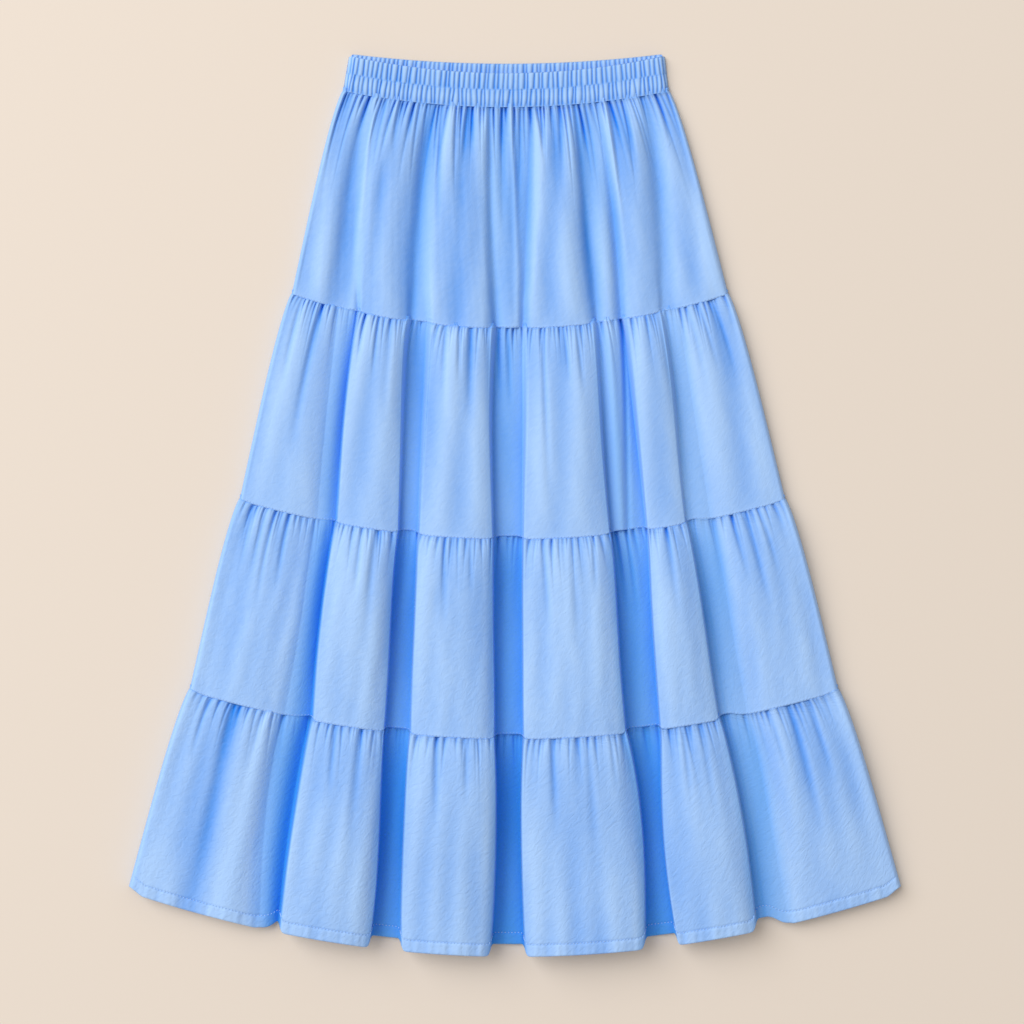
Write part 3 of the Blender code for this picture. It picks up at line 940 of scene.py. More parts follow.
@dataclass(frozen=True)
class SewingThread:
    """Spun polyester sewing thread, a shade lighter than the cotton."""

    # Its twisted fibres give each stitch a slight gloss and a fine unevenness.
    name: str = "sewing_thread"
    colour: str = "#B9D6FB"
    shade: str = "#8CB9F3"
    roughness: float = 0.6
    fibre_mm: float = 0.4
    fibre_detail: float = 2.0

    def make(self) -> bpy.types.Material:
        """Build the material.

        Returns:
            The material.
        """
        thread = bpy.data.materials.new(self.name)
        thread.use_nodes = True
        shader = thread.node_tree.nodes["Principled BSDF"]
        shader.inputs["Roughness"].default_value = self.roughness
        place = add_node(thread, "ShaderNodeTexCoord").outputs["Object"]
        values = {"Scale": 1.0 / (self.fibre_mm * MM), "Detail": self.fibre_detail}
        fibre = add_node(thread, "ShaderNodeTexNoise", values=values, links={"Vector": place}).outputs["Fac"]
        colours = {MIX_FIRST: srgb(self.colour), MIX_SECOND: srgb(self.shade)}
        mixed = add_node(thread, "ShaderNodeMix", {"data_type": "RGBA"}, colours, {MIX_SHARE: fibre})
        thread.node_tree.links.new(mixed.outputs[MIXED], shader.inputs["Base Color"])
        return thread


@dataclass(frozen=True)
class StudioPaper:
    """Uncoated background paper, warm white."""

    # Its fibres scatter the light, so it is matt and keeps the shadows soft.
    name: str = "studio_paper"
    colour: str = "#E7DCD0"
    roughness: float = 0.95
    specular: float = 0.1

    def make(self) -> bpy.types.Material:
        """Build the material.

        Returns:
            The material.
        """
        paper = bpy.data.materials.new(self.name)
        paper.use_nodes = True
        shader = paper.node_tree.nodes["Principled BSDF"]
        shader.inputs["Base Color"].default_value = srgb(self.colour)
        shader.inputs["Roughness"].default_value = self.roughness
        shader.inputs["Specular IOR Level"].default_value = self.specular
        return paper


def normals_of(points: np.ndarray) -> np.ndarray:
    """Find the upward direction at each point of a grid.

    Args:
        points: the grid's points, row by row.

    Returns:
        One direction of length 1 for each point.
    """
    across = np.gradient(points, axis=1)
    down = np.gradient(points, axis=0)
    normals = np.cross(down, across)
    return normals / np.linalg.norm(normals, axis=2)[..., None]


def path_lengths(points: np.ndarray, axis: int) -> np.ndarray:
    """Find the distance walked along one direction of a grid.

    Args:
        points: the grid's points, row by row.
        axis: 0 to walk down the columns and 1 to walk along the rows.

    Returns:
        One distance for each point.
    """
    steps = np.linalg.norm(np.diff(points, axis=axis), axis=2)
    start = np.zeros_like(np.take(steps, [0], axis=axis))
    return np.concatenate((start, np.cumsum(steps, axis=axis)), axis=axis)


def grid_faces(rows: int, columns: int, first: int = 0, flip: bool = False) -> np.ndarray:
    """List the four-sided faces of a grid whose rows run down and columns to the right.

    Args:
        rows: how many rows of points it has.
        columns: how many columns.
        first: the number of its first point.
        flip: whether the faces look down.

    Returns:
        The four point numbers of each face.
    """
    number = first + np.arange(rows * columns).reshape(rows, columns)
    corners = [number[:-1, :-1], number[1:, :-1], number[1:, 1:], number[:-1, 1:]]
    faces = np.stack([corner.ravel() for corner in corners], axis=1)
    return faces[:, ::-1] if flip else faces


@dataclass
class ClothMesh:
    """A smooth mesh in millimetres, with its place on the flat cloth and its wear.

    cut is each point's place on the flat cloth in metres. Its marks, each from 0 to 1, are the painted shade
    of the large folds, the painted shade of the small grooves and seams with a painted highlight on small
    ridges, and how crinkled it is.
    """

    name: str
    points: np.ndarray
    faces: np.ndarray
    cut: np.ndarray
    fold_shade: np.ndarray
    groove: np.ndarray
    worn: np.ndarray
    finish: bpy.types.Material

    def build(self) -> bpy.types.Object:
        """Build the mesh and its object.

        Returns:
            The new object.
        """
        mesh = bpy.data.meshes.new(self.name)
        mesh.vertices.add(len(self.points))
        mesh.vertices.foreach_set("co", (self.points * MM).astype(np.float32).ravel())
        mesh.loops.add(self.faces.size)
        mesh.loops.foreach_set("vertex_index", self.faces.astype(np.int32).ravel())
        mesh.polygons.add(len(self.faces))
        mesh.polygons.foreach_set("loop_start", np.arange(0, self.faces.size, 4, dtype=np.int32))
        mesh.update(calc_edges=True)
        layer = mesh.uv_layers.new(name="cut")
        layer.uv.foreach_set("vector", self.cut[self.faces.ravel()].astype(np.float32).ravel())
        # The first two marks are painted shade, the second also a painted highlight on small ridges.
        for name, values in (("fold_shade", self.fold_shade), ("groove", self.groove), ("worn", self.worn)):
            mark = mesh.attributes.new(name, "FLOAT", "POINT")
            mark.data.foreach_set("value", values.astype(np.float32))
        mesh.shade_smooth()
        mesh.materials.append(self.finish)
        mesh.validate()
        piece = bpy.data.objects.new(self.name, mesh)
        bpy.context.scene.collection.objects.link(piece)
        return piece


def thicken(piece: bpy.types.Object, thickness: float) -> None:
    """Give a sheet its thickness, inwards from its outer face.

    Args:
        piece: the sheet.
        thickness: its thickness in millimetres.
    """
    shell = piece.modifiers.new("cloth_thickness", "SOLIDIFY")
    shell.thickness = thickness * MM
    shell.offset = -1.0
    shell.use_rim = True


@dataclass
class Stitches:
    """A row of short sewing stitches along a line of points."""

    name: str
    thread: bpy.types.Material
    pitch: float = 3.6
    length: float = 2.2
    thickness: float = 0.9
    sides: int = 5
    # The rings of one stitch: their share of its length, their girth and how far they lift off the cloth.
    rings: tuple[tuple[float, float, float], ...] = (
        (0.0, 0.35, -0.3),
        (0.3, 1.0, 0.35),
        (0.7, 1.0, 0.35),
        (1.0, 0.35, -0.3),
    )

    def build(self, line: np.ndarray, normals: np.ndarray) -> bpy.types.Object:
        """Build the stitches.

        Args:
            line: the points of the seam line, in millimetres.
            normals: the cloth's outward direction at each point.

        Returns:
            The new object.
        """
        walked = np.concatenate(([0.0], np.cumsum(np.linalg.norm(np.diff(line, axis=0), axis=1))))
        starts = np.arange(self.pitch, walked[-1] - 2.0 * self.pitch, self.pitch)
        points, faces = [], []
        turns = np.arange(self.sides) * math.tau / self.sides
        for start in starts:
            first = len(points)
            ends = [self.at(line, walked, start + share * self.length) for share in (0.0, 1.0)]
            ahead = (ends[1] - ends[0]) / np.linalg.norm(ends[1] - ends[0])
            up = self.at(normals, walked, start + 0.5 * self.length)
            up = up / np.linalg.norm(up)
            aside = np.cross(up, ahead)
            for share, girth, lift in self.rings:
                centre = ends[0] + (ends[1] - ends[0]) * share + up * lift * self.thickness
                radius = 0.5 * self.thickness * girth
                for turn in turns:
                    points.append(centre + radius * (math.cos(turn) * aside + math.sin(turn) * up))
            for ring in range(len(self.rings) - 1):
                low = first + ring * self.sides
                for side in range(self.sides):
                    after = (side + 1) % self.sides
                    faces.append((low + side, low + self.sides + side, low + self.sides + after, low + after))
            last = first + (len(self.rings) - 1) * self.sides
            faces.append(tuple(first + side for side in range(self.sides)))
            faces.append(tuple(last + side for side in reversed(range(self.sides))))
        mesh = bpy.data.meshes.new(self.name)
        mesh.from_pydata([tuple(point * MM) for point in points], [], faces)
        mesh.shade_smooth()
        mesh.materials.append(self.thread)
        piece = bpy.data.objects.new(self.name, mesh)
        bpy.context.scene.collection.objects.link(piece)
        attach(piece, "root")
        return piece

    @staticmethod
    def at(values: np.ndarray, walked: np.ndarray, place: float) -> np.ndarray:
        """Return the values at a distance along the line."""
        return np.array([np.interp(place, walked, values[:, axis]) for axis in range(3)])


@dataclass
class FrontPanel:
    """The front of one tier, gathered to the edge above it. Its sizes are millimetres."""

    tier: int
    cotton: bpy.types.Material
    thread: bpy.types.Material
    spacing: float
    thickness: float = 0.5
    # Its rows lie close together near the seams: distances below the upper one and above the lower one.
    top_rows: tuple[float, ...] = (
        *(-4.0, -2.2, -1.0, 0.0, 0.7, 1.5, 2.5, 3.7),
        *(5.2, 7.0, 9.2, 12.0, 15.2, 19.0, 23.5, 29.0),
    )
    seam_rows: tuple[float, ...] = (
        *(26.0, 20.0, 15.0, 11.0, 8.0, 5.6, 3.8),
        *(2.6, 1.8, 1.1, 0.5, 0.0, -0.6, -1.1),
    )
    hem_rows: tuple[float, ...] = (
        *(25.0, 19.0, 15.6, 14.4, 13.6, 12.9, 12.2),
        *(11.3, 9.5, 7.0, 4.5, 2.2, 0.8, 0.0),
    )
    middle_rows: int = 20
    # The upper edge goes under the tier above, and at the waist it flattens under the band.
    sink: float = 0.2
    sink_span: tuple[float, float] = (-0.6, 1.8)
    tuck: tuple[float, ...] = (0.3, 1.8, 1.8, 1.8)
    tuck_span: tuple[float, float] = (-1.6, -0.3)
    waist_level: float = 10.0
    waist_span: tuple[float, float] = (-10.0, 45.0)
    # The creases sway and widen as they run down, and fade at their ends.
    crease_strength: float = 1.25
    crease_sway: tuple[float, float, float] = (0.25, 3.0, 2.1)
    crease_spread: tuple[float, float] = (0.75, 0.6)
    crease_loss: float = 0.2
    crease_hold: float = 0.35
    crease_start: float = 0.2
    # The gathers are shallower where the seam holds them, and stray, lean and end in a point.
    seam_hold: float = 0.5
    seam_hold_reach: float = 4.0
    pucker_stray: float = 0.36
    pucker_lean: float = 0.07
    pucker_taper_reach: float = 1.5
    pucker_point: float = 1.4
    # The loose cloth between the seams ripples and crinkles.
    first_seed: int = 60
    ripple: tuple[float, ...] = (1.3, 1.0, 0.8, 0.8)
    ripple_size: tuple[float, float] = (21.0, 200.0)
    sewn_reach: tuple[float, float] = (14.0, 22.0)
    sewn_hold: float = 0.75
    crinkle: float = 0.13
    crinkle_size: tuple[float, float] = (9.0, 34.0)
    # The hem is turned up once and puckers a little along its stitches, which lie in a groove.
    hem_turn: float = 13.0
    hem_lift: float = 0.25
    hem_step: tuple[float, float] = (-0.4, 0.9)
    hem_groove: tuple[float, float, float] = (0.7, 0.2, 0.9)
    hem_pucker: float = 0.36
    hem_pucker_size: tuple[float, float] = (8.0, 40.0)
    hem_round: float = 1.2
    # Every lower edge drops at its end. A seam's is a little raised above it by the allowance inside.
    edge_drop: float = 0.5
    edge_span: tuple[float, float] = (0.2, 1.1)
    rim_lift: float = 0.1
    rim_place: float = 0.9
    rim_width: float = 1.2
    # The stitches on the seams and on the hem.
    stitch_line: float = 0.5
    stitch_margin: int = 8
    seam_thread: float = 0.6
    hem_thread: float = 1.05
    # The wear, and the painted shade: in the large folds, in the small grooves with a painted highlight on
    # small ridges, and a painted shadow under each seam.
    worn: tuple[float, ...] = (0.35, 0.5, 0.8, 1.0)
    deep_tint: float = 0.72
    full_depth: float = 22.0
    plain_depth: float = 0.04
    plain_tint: float = 0.14
    groove_tint: float = 0.16
    seam_shadow: float = 0.24
    seam_shadow_span: tuple[float, float] = (0.2, 2.6)

    @property
    def length(self) -> float:
        """Return the tier's length down its middle."""
        return FRONT_LINES[self.tier].middle - FRONT_LINES[self.tier + 1].middle

    @property
    def name(self) -> str:
        """Return the piece's name."""
        return f"tier{self.tier + 1}_front_cloth"

    @property
    def is_hem(self) -> bool:
        """Return whether this is the lowest tier."""
        return self.tier == len(TIER_PUCKERS) - 1

    def distances(self) -> np.ndarray:
        """Find where the rows lie.

        Returns:
            Their distances from the upper seam, rising.
        """
        below = np.array(self.hem_rows if self.is_hem else self.seam_rows)
        middle = np.linspace(self.top_rows[-1], self.length - below[0], self.middle_rows + 2)[1:-1]
        return np.concatenate((self.top_rows, middle, self.length - below))

    def base(self) -> tuple[np.ndarray, np.ndarray, np.ndarray]:
        """Lay out the tier's part of the large form.

        Returns:
            Its points, and how deep the painted shade is and how calm the cloth is at each.
        """
        upper, lower = FRONT_LINES[self.tier], FRONT_LINES[self.tier + 1]
        steps = FORM.steps(self.tier, self.spacing)
        points, rows = [], []
        for distance in self.distances():
            share = min(1.0, max(0.0, distance / self.length))
            row = FORM.row(self.tier, share, steps)
            left_end, right_end = FORM.ends(FRONT_LINES, self.tier, share)
            part = (row.across - left_end) / (right_end - left_end)
            dip = 2.0 * row.standing - 1.0
            top = upper.level(part) - FORM.line_waves[self.tier] * dip
            bottom = lower.level(part) - FORM.line_waves[self.tier + 1] * dip
            beyond = distance - share * self.length
            height = row.height
            if self.tier == 0:
                inward = np.minimum(row.across - left_end, right_end - row.across)
                level = self.waist_level * quarter_round(inward / FORM.side_round)
                height = level + (height - level) * smooth_step(distance, *self.waist_span)
            points.append(np.column_stack((row.across, top + (bottom - top) * share - beyond, height)))
            rows.append(row)
        return np.array(points), np.array([row.shade_depth for row in rows]), np.array([row.calm for row in rows])

    def crease_relief(self, part: np.ndarray, down: np.ndarray) -> np.ndarray:
        """Add up the hand-laid creases.

        Args:
            part: parts of the width, from 0 to 1.
            down: distances down the tier.

        Returns:
            The height that they give each point.
        """
        total = np.zeros_like(part)
        share = down / self.length
        left, right = FORM.ends(FRONT_LINES, self.tier, 0.5)
        width = right - left
        sway_width, sway_turn, sway_phase = self.crease_sway
        for number, crease in enumerate(CREASES[self.tier]):
            run = np.clip((share - crease.top) / (crease.reach - crease.top), 0.0, 1.0)
            centre = crease.start + (crease.finish - crease.start) * run
            sway = sway_width * np.sin(sway_turn * share + sway_phase * number)
            spread = crease.width * (self.crease_spread[0] + self.crease_spread[1] * run)
            across = (part * 100.0 - centre - sway) * width / 100.0 / spread
            fade = 1.0 - self.crease_loss * run
            if crease.reach < 1.0:
                held = crease.top + self.crease_hold * (crease.reach - crease.top)
                fade = 1.0 - smooth_step(share, held, crease.reach)
            if crease.top > 0.0:
                fade = fade * smooth_step(share, crease.top, crease.top + self.crease_start)
            total -= self.crease_strength * crease.depth * fade * np.exp(-across * across)
        return total

    def pucker_relief(self, cloth: np.ndarray, down: np.ndarray) -> np.ndarray:
        """Add up the small gathers.

        Args:
            cloth: distances along the cloth.
            down: distances down the tier.

        Returns:
            The height that they give each point, which is below 0 in a gather.
        """
        width = cloth.max()
        total = np.zeros_like(cloth)
        fallen = np.clip(down, 0.0, None)
        start = self.seam_hold + (1.0 - self.seam_hold) * smooth_step(down, 0.0, self.seam_hold_reach)
        stray, lean = self.pucker_stray, self.pucker_lean
        for puckers in TIER_PUCKERS[self.tier]:
            chance = np.random.default_rng(puckers.seed)
            count = round(width / puckers.pitch)
            for number in range(count):
                centre = (number + 0.5 + chance.uniform(-stray, stray)) * width / count
                depth = chance.uniform(*puckers.depth)
                spread = chance.uniform(*puckers.width) * (1.0 + fallen / puckers.growth)
                reach = chance.uniform(*puckers.reach)
                run = np.clip(fallen / (self.pucker_taper_reach * reach), 0.0, 1.0)
                spread = spread * (1.0 - puckers.taper * run)
                away = np.abs(cloth - centre - chance.uniform(-lean, lean) * fallen) / spread
                fade = np.exp(-((fallen / reach) ** puckers.fade))
                total -= depth * start * fade * np.exp(-(away**self.pucker_point))
        return total

    def relief(self, points: np.ndarray, calm: np.ndarray) -> np.ndarray:
        """Find how far the cloth stands out from the large form.

        Args:
            points: the large form's points.
            calm: how much of the relief each of them takes, from 0 to 1.

        Returns:
            The height to add at each point.
        """
        cloth = path_lengths(points, 1)
        cloth = cloth * (cloth[:, -1].mean() / cloth[:, -1:])
        down = np.broadcast_to(self.distances()[:, None], cloth.shape)
        left = points[:, :1, 0]
        right = points[:, -1:, 0]
        part = (points[..., 0] - left) / (right - left)
        total = self.crease_relief(part, down) + self.pucker_relief(cloth, down)
        seed = self.first_seed + 10 * self.tier
        near_top = np.exp(-np.clip(down, 0.0, None) / self.sewn_reach[0])
        sewn = near_top + np.exp((down - self.length) / self.sewn_reach[1])
        free = 1.0 if self.is_hem else 1.0 - self.sewn_hold * np.clip(sewn, 0.0, 1.0)
        total += self.ripple[self.tier] * free * soft_noise(cloth, down, self.ripple_size, seed)
        total += self.crinkle * soft_noise(cloth, down, self.crinkle_size, seed + 1)
        if self.is_hem:
            turn = self.length - self.hem_turn
            hem = smooth_step(down, turn + self.hem_step[0], turn + self.hem_step[1])
            total += self.hem_lift * hem
            depth, place, width = self.hem_groove
            stitch = (down - turn - place) / width
            total -= depth * np.exp(-stitch * stitch)
            total += self.hem_pucker * hem * soft_noise(cloth, down, self.hem_pucker_size, seed + 2)
            edge = quarter_round((self.length - down) / self.hem_round)
            total -= self.edge_drop * (1.0 - edge)
        else:
            rim = (self.length - self.rim_place - down) / self.rim_width
            total += self.rim_lift * np.exp(-rim * rim)
            start, finish = self.edge_span
            total -= self.edge_drop * smooth_step(down, self.length + start, self.length + finish)
        under = self.sink * (1.0 - smooth_step(down, *self.sink_span))
        under = under + self.tuck[self.tier] * (1.0 - smooth_step(down, *self.tuck_span))
        return total * calm - under * np.minimum(1.0, 2.0 * calm)

    def build(self) -> bpy.types.Object:
        """Returns:
            The new object.
        """
        base, shade_depth, calm = self.base()
        relief = self.relief(base, calm)
        normals = normals_of(base)
        points = base.copy()
        points[..., 2] += relief
        points[..., 2] = np.maximum(points[..., 2], 0.0)
        points = FORM.drawn_in(points)
        rows, columns = points.shape[:2]
        across = path_lengths(points, 1)
        down = path_lengths(points, 0)
        cut = np.stack((across, -down), axis=2) * MM
        # Painted shade: a shadow under each seam, shade in the large folds, and shade in the small grooves
        # with a painted highlight on the small ridges.
        shade = self.seam_shadow * (1.0 - smooth_step(self.distances()[:, None], *self.seam_shadow_span))
        fold_shade = np.clip(self.deep_tint * shade_depth / self.full_depth - self.plain_depth, 0.0, 1.0)
        groove = np.clip(self.plain_tint - self.groove_tint * relief + shade, 0.0, 1.0)
        before, after = self.worn[max(self.tier - 1, 0)], self.worn[self.tier]
        share = np.clip(self.distances()[:, None] / self.length, 0.0, 1.0)
        worn = np.broadcast_to(before + (after - before) * share, fold_shade.shape)
        piece = ClothMesh(
            name=self.name,
            points=points.reshape(-1, 3),
            faces=grid_faces(rows, columns),
            cut=cut.reshape(-1, 2),
            fold_shade=fold_shade.ravel(),
            groove=groove.ravel(),
            worn=worn.ravel(),
            finish=self.cotton,
        ).build()
        thicken(piece, self.thickness)
        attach(piece, "root")
        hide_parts(f"tier{self.tier + 1}_front")
        inward = self.hem_turn if self.is_hem else self.stitch_line
        line = int(np.argmin(np.abs(self.distances() - self.length + inward)))
        name = "hem_stitches" if self.is_hem else f"seam{self.tier + 1}_stitches"
        girth = self.hem_thread if self.is_hem else self.seam_thread
        sewing = Stitches(name=name, thread=self.thread, thickness=girth)
        kept = slice(self.stitch_margin, -self.stitch_margin)
        sewn = [sewing.build(points[line, kept], normals[line, kept]).name]
        return piece


@dataclass
class BackPanel:
    """The back of one tier, pressed flat on the surface under the front. Its sizes are millimetres."""

    tier: int
    cotton: bpy.types.Material
    columns: int = 120
    rows: int = 36
    row_crowding: float = 1.25
    thickness: float = 0.5
    inset: float = 0.7
    # It rests just above the surface and ripples lightly, most of all under its upper seam.
    rest: float = 0.1
    press: float = 0.7
    press_level: float = 0.35
    wave_size: tuple[float, float] = (9.0, 120.0)
    wave_reach: float = 60.0
    first_seed: int = 70
    # Its painted shade and its wear are even.
    fold_shade: float = 0.3
    groove: float = 0.1
    worn: float = 0.5

    @property
    def name(self) -> str:
        """Return the piece's name."""
        return f"tier{self.tier + 1}_back_cloth"

    def build(self) -> bpy.types.Object:
        """Returns:
            The new object.
        """
        upper, lower = BACK_LINES[self.tier], BACK_LINES[self.tier + 1]
        shares = np.linspace(0.0, 1.0, self.rows) ** self.row_crowding
        part = np.linspace(0.0, 1.0, self.columns)
        points = []
        for share in shares:
            left, right = FORM.ends(BACK_LINES, self.tier, share)
            across = left + self.inset + (right - left - 2.0 * self.inset) * part
            top, bottom = upper.level(part), lower.level(part)
            points.append(np.column_stack((across, top + (bottom - top) * share, np.zeros(self.columns))))
        points = np.array(points)
        cloth = path_lengths(points, 1)
        down = path_lengths(points, 0)
        wave = soft_noise(cloth, down, self.wave_size, self.first_seed + self.tier)
        fade = 0.5 + 0.5 * np.exp(-down / self.wave_reach)
        pressed = self.press * np.clip(self.press_level + self.press_level * wave * fade, 0.0, 1.0)
        points[..., 2] = self.rest + self.thickness + pressed
        points[..., 1] -= FORM.middle_y
        cut = np.stack((cloth, -down), axis=2) * MM
        count = self.rows * self.columns
        piece = ClothMesh(
            name=self.name,
            points=points.reshape(-1, 3),
            faces=grid_faces(self.rows, self.columns),
            cut=cut.reshape(-1, 2),
            fold_shade=np.full(count, self.fold_shade),
            groove=np.full(count, self.groove),
            worn=np.full(count, self.worn),
            finish=self.cotton,
        ).build()
        thicken(piece, self.thickness)
        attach(piece, "root")
        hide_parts(f"tier{self.tier + 1}_back")
        return piece


@dataclass(frozen=True)
class Ribbing:
    """The ribs of one elastic channel.

    depth and width are the least and most of the grooves between them. lean is how far a groove slants
    down the channel and wobble how far it bends. All four are millimetres.
    """

    count: int
    depth: tuple[float, float]
    width: tuple[float, float]
    lean: float
    wobble: float
    seed: int


@dataclass
class Waistband:
    """One half of the elastic casing, stitched along its middle into two ribbed channels.

    Its sizes are millimetres, and places down the band go from 0 at its top to 1 at its seam.
    """

    face: Face
    cotton: bpy.types.Material
    columns: int = 640
    rows: int = 33
    upper_ribs: Ribbing = Ribbing(
        count=68, depth=(1.4, 2.0), width=(1.1, 1.6), lean=0.5, wobble=0.2, seed=61
    )
    lower_ribs: Ribbing = Ribbing(
        count=74, depth=(1.3, 2.0), width=(1.0, 1.5), lean=1.1, wobble=0.35, seed=62
    )
    rib_stray: float = 0.2
    rib_point: float = 1.4
    rib_widening: tuple[float, float] = (0.8, 0.4)
    # The stitch lines hold the ribs down, along the middle and above the seam.
    channel: float = 0.4
    line_span: tuple[float, float] = (0.005, 0.06)
    line_rib_loss: float = 0.3
    line_groove: tuple[float, float] = (0.3, 0.022)
    seam_span: float = 0.05
    seam_rib_share: float = 0.45
    seam_groove: tuple[float, float, float] = (0.15, 0.955, 0.016)
    # How it lies, and how its sides, edges and upper corners round off.
    depth: float = 37.0
    height: float = 10.6
    seam_drop: float = 0.4
    drop_start: float = 0.75
    wall: float = 2.3
    side_round: float = 8.5
    side_hold: float = 5.0
    side_crowding: float = 0.2
    edge_round: float = 1.6
    edge_rib_loss: float = 0.6
    edge_push: float = 0.35
    corner_round: float = 1.2
    corner_reach: float = 4.0
    # The back half rests just above the surface, narrower than the front.
    back_inset: float = 2.0
    back_rest: float = 0.1
    back_rise: float = 1.5
    # Painted shade darkens the grooves between the ribs.
    plain_tint: float = 0.0
    groove_tint: float = 0.44

    @property
    def name(self) -> str:
        """Return the piece's name."""
        return f"waistband_{self.face.value}_cloth"

    @property
    def is_front(self) -> bool:
        """Return whether this is the front half."""
        return self.face is Face.FRONT

    def grooves(self, cloth: np.ndarray, place: np.ndarray, ribs: Ribbing) -> np.ndarray:
        """Return how deep each point lies in the grooves between a channel's ribs.

        Args:
            cloth: distances along the band.
            place: 0 at the channel's top to 1 at its bottom.
            ribs: the channel's ribs.

        Returns:
            One depth for each point, in millimetres.
        """
        chance = np.random.default_rng(ribs.seed)
        width = cloth.max()
        total = np.zeros_like(cloth)
        stray = self.rib_stray
        for number in range(ribs.count):
            centre = (number + 0.5 + chance.uniform(-stray, stray)) * width / ribs.count
            lean = chance.uniform(-ribs.lean, ribs.lean)
            bend = ribs.wobble * np.sin(math.pi * place + chance.uniform(0.0, math.tau))
            depth = chance.uniform(*ribs.depth)
            spread = chance.uniform(*ribs.width) * (self.rib_widening[0] + self.rib_widening[1] * place)
            away = np.abs(cloth - centre - lean * (place - 0.5) - bend) / spread
            total = np.maximum(total, depth * np.exp(-(away**self.rib_point)))
        return total

    def rib_relief(self, cloth: np.ndarray, share: np.ndarray) -> np.ndarray:
        """Add up the ribs, channels and stitch lines on the band.

        Args:
            cloth: distances along the band.
            share: places down it.

        Returns:
            The height that they give each point.
        """
        upper = np.clip(share / 0.5, 0.0, 1.0)
        lower = np.clip(share / 0.5 - 1.0, 0.0, 1.0)
        to_middle = smooth_step(np.abs(share - 0.5), *self.line_span)
        to_seam = smooth_step(1.0 - share, 0.0, self.seam_span)
        seam_ribs = self.seam_rib_share + (1.0 - self.seam_rib_share) * to_seam
        groove = np.where(
            share < 0.5,
            self.grooves(cloth, upper, self.upper_ribs),
            self.grooves(cloth, lower, self.lower_ribs) * seam_ribs,
        )
        groove = groove * ((1.0 - self.line_rib_loss) + self.line_rib_loss * to_middle)
        puff = np.where(share < 0.5, np.sqrt(np.sin(0.5 * math.pi * (1.0 - upper))), np.sin(math.pi * lower))
        line_depth, line_width = self.line_groove
        line = np.exp(-(((share - 0.5) / line_width) ** 2))
        seam_depth, seam_place, seam_width = self.seam_groove
        seam = np.exp(-(((share - seam_place) / seam_width) ** 2))
        return self.channel * (puff - 1.0) - groove - line_depth * line - seam_depth * seam

    def grids(self) -> tuple[np.ndarray, np.ndarray, np.ndarray]:
        """Lay out the band's two faces.

        Returns:
            Its upper points, its lower points and the height of the relief at each.
        """
        top_line, low_line = (BAND_TOP, WAIST) if self.is_front else (BACK_BAND_TOP, BACK_WAIST)
        share = np.linspace(0.0, 1.0, self.rows)
        inset = 0.0 if self.is_front else self.back_inset
        even = np.linspace(0.0, 1.0, self.columns)
        crowded = 0.5 - 0.5 * np.cos(math.pi * even)
        part = self.side_crowding * crowded + (1.0 - self.side_crowding) * even
        rows = []
        for value in share:
            left = top_line.left + (low_line.left - top_line.left) * value + inset
            right = top_line.right + (low_line.right - top_line.right) * value - inset
            across = left + (right - left) * part
            inward = np.minimum(across - left, right - across)
            level = np.full(self.columns, self.rest_level)
            if self.is_front:
                height = self.height - self.seam_drop * smooth_step(value, self.drop_start, 1.0)
                level = height * quarter_round(inward / self.side_round)
            top, bottom = top_line.level(part), low_line.level(part)
            rounded = 1.0 - quarter_round(inward / self.corner_reach)
            corner = self.corner_round * rounded * (1.0 - value) ** 3
            rows.append(np.column_stack((across, top - corner + (bottom - top) * value, level)))
        plain = np.array(rows)
        cloth = path_lengths(plain, 1)
        cloth = cloth * (cloth[:, -1].mean() / cloth[:, -1:])
        shares = np.broadcast_to(share[:, None], cloth.shape)
        relief = self.rib_relief(cloth, shares)
        inward = np.minimum(cloth, cloth[:, -1:] - cloth)
        keep = smooth_step(inward, 0.0, self.side_hold)
        edge = quarter_round(np.minimum(shares, 3.0 * (1.0 - shares)) * self.depth / self.edge_round)
        normals = normals_of(plain)
        half = 0.5 * self.wall
        on_edge = (1.0 - self.edge_rib_loss) + self.edge_rib_loss * edge
        upper = plain + normals * (relief * keep * on_edge - half * (1.0 - edge))[..., None]
        lower = plain - normals * (self.wall - half * (1.0 - edge))[..., None]
        upper[..., 1] += self.edge_push * relief * keep * (1.0 - edge)
        if self.is_front:
            upper[:, 0], upper[:, -1] = plain[:, 0], plain[:, -1]
            lower[:, 0] = plain[:, 0] + (self.wall, 0.0, 0.0)
            lower[:, -1] = plain[:, -1] - (self.wall, 0.0, 0.0)
        floor = 0.0 if self.is_front else self.back_rest
        lower[..., 2] = np.maximum(lower[..., 2], floor)
        upper[..., 2] = np.maximum(upper[..., 2], floor)
        return upper, lower, relief

    @property
    def rest_level(self) -> float:
        """Return the height of the back half's upper face as it lies on the surface."""
        return self.back_rest + self.wall + self.back_rise

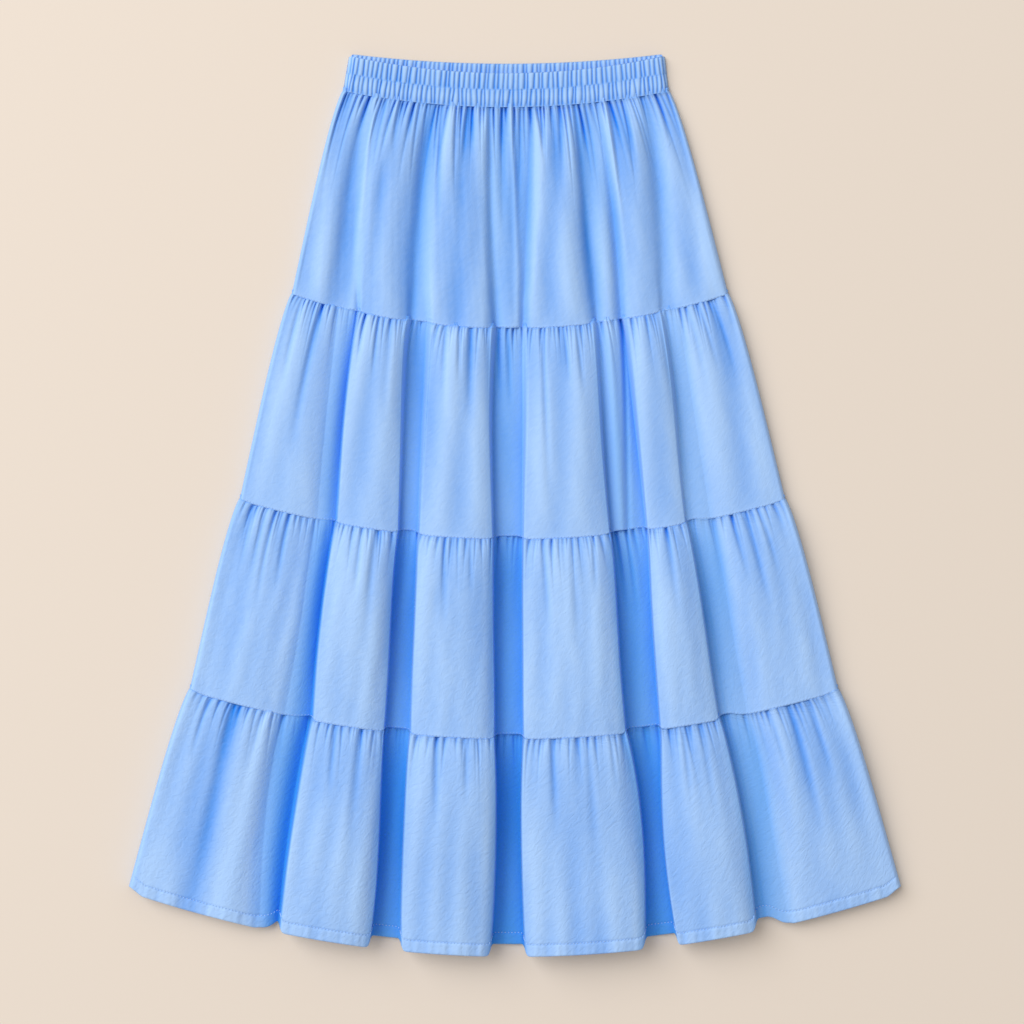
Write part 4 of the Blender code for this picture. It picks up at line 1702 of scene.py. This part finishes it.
    def build(self) -> bpy.types.Object:
        """Returns:
            The new object.
        """
        upper, lower, relief = self.grids()
        if self.is_front:
            upper, lower = FORM.drawn_in(upper), FORM.drawn_in(lower)
        else:
            upper[..., 1] -= FORM.middle_y
            lower[..., 1] -= FORM.middle_y
        rows, columns = upper.shape[:2]
        under = rows * columns
        over = np.arange(under).reshape(rows, columns)
        rim = [
            np.stack((over[0, :-1], over[0, 1:], over[0, 1:] + under, over[0, :-1] + under), axis=1),
            np.stack((over[-1, 1:], over[-1, :-1], over[-1, :-1] + under, over[-1, 1:] + under), axis=1),
            np.stack((over[1:, 0], over[:-1, 0], over[:-1, 0] + under, over[1:, 0] + under), axis=1),
            np.stack((over[:-1, -1], over[1:, -1], over[1:, -1] + under, over[:-1, -1] + under), axis=1),
        ]
        faces = np.concatenate(
            [grid_faces(rows, columns), grid_faces(rows, columns, under, flip=True), *rim]
        )
        cloth, down = path_lengths(upper, 1), path_lengths(upper, 0)
        cut = np.stack((cloth, -down), axis=2).reshape(-1, 2) * MM
        # Painted shade in the grooves between the ribs.
        groove = np.clip(self.plain_tint - self.groove_tint * relief, 0.0, 1.0).ravel()
        piece = ClothMesh(
            name=self.name,
            points=np.concatenate((upper.reshape(-1, 3), lower.reshape(-1, 3))),
            faces=faces,
            cut=np.concatenate((cut, cut)),
            fold_shade=np.zeros(2 * under),
            groove=np.concatenate((groove, groove)),
            worn=np.zeros(2 * under),
            finish=self.cotton,
        ).build()
        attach(piece, "root")
        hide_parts(f"waistband_{self.face.value}")
        return piece


@dataclass
class Studio:
    """The pale surface, the soft light and the camera above it."""

    paper: bpy.types.Material
    floor_m: float = 24.0
    camera_height: float = 1.536
    camera_x: float = -0.0032
    camera_y: float = -0.0111
    lens_mm: float = 50.0
    sensor_mm: float = 36.0
    key_direction: tuple[float, float, float] = (-0.72, 0.48, 0.8)
    key_distance: float = 9.0
    key_size: float = 7.5
    key_power: float = 770.0
    key_colour: tuple[float, float, float] = (1.0, 0.987, 0.985)
    sky_colour: str = "#F7F2EC"
    sky_strength: float = 0.52

    def build(self) -> None:
        """Build the floor, the key light, the sky and the camera."""
        bpy.ops.object.select_all(action="DESELECT")
        bpy.ops.mesh.primitive_plane_add(size=self.floor_m, location=(0.0, 0.0, 0.0))
        floor = bpy.context.active_object
        floor.name = "studio_floor"
        floor.data.materials.append(self.paper)
        lamp = bpy.data.lights.new("soft_key", "AREA")
        lamp.shape = "SQUARE"
        lamp.size = self.key_size
        lamp.energy = self.key_power
        lamp.color = self.key_colour
        key = bpy.data.objects.new("soft_key", lamp)
        bpy.context.scene.collection.objects.link(key)
        direction = Vector(self.key_direction).normalized()
        key.location = direction * self.key_distance
        key.rotation_mode = "QUATERNION"
        key.rotation_quaternion = direction.to_track_quat("Z", "Y")
        world = bpy.data.worlds.new("studio_sky")
        world.use_nodes = True
        background = world.node_tree.nodes["Background"]
        background.inputs["Color"].default_value = srgb(self.sky_colour)
        background.inputs["Strength"].default_value = self.sky_strength
        bpy.context.scene.world = world
        lens = bpy.data.cameras.new("overhead")
        lens.lens = self.lens_mm
        lens.sensor_width = self.sensor_mm
        camera = bpy.data.objects.new("overhead", lens)
        camera.location = (self.camera_x, self.camera_y, self.camera_height)
        camera.rotation_euler = (0.0, 0.0, 0.0)
        bpy.context.scene.collection.objects.link(camera)
        bpy.context.scene.camera = camera
        bpy.context.scene.view_settings.view_transform = "Standard"


def main() -> None:
    """Build and dress the whole skirt."""
    logging.basicConfig(level=logging.INFO, format="%(name)s: %(message)s")
    cotton = WashedCotton().make()
    thread = SewingThread().make()
    Studio(paper=StudioPaper().make()).build()
    for tier, spacing in enumerate(COLUMN_SPACINGS):
        BackPanel(tier=tier, cotton=cotton).build()
        FrontPanel(tier=tier, cotton=cotton, thread=thread, spacing=spacing).build()
    Waistband(face=Face.BACK, cotton=cotton, columns=420, rows=22).build()
    Waistband(face=Face.FRONT, cotton=cotton).build()


if __name__ == "__main__":
    main()
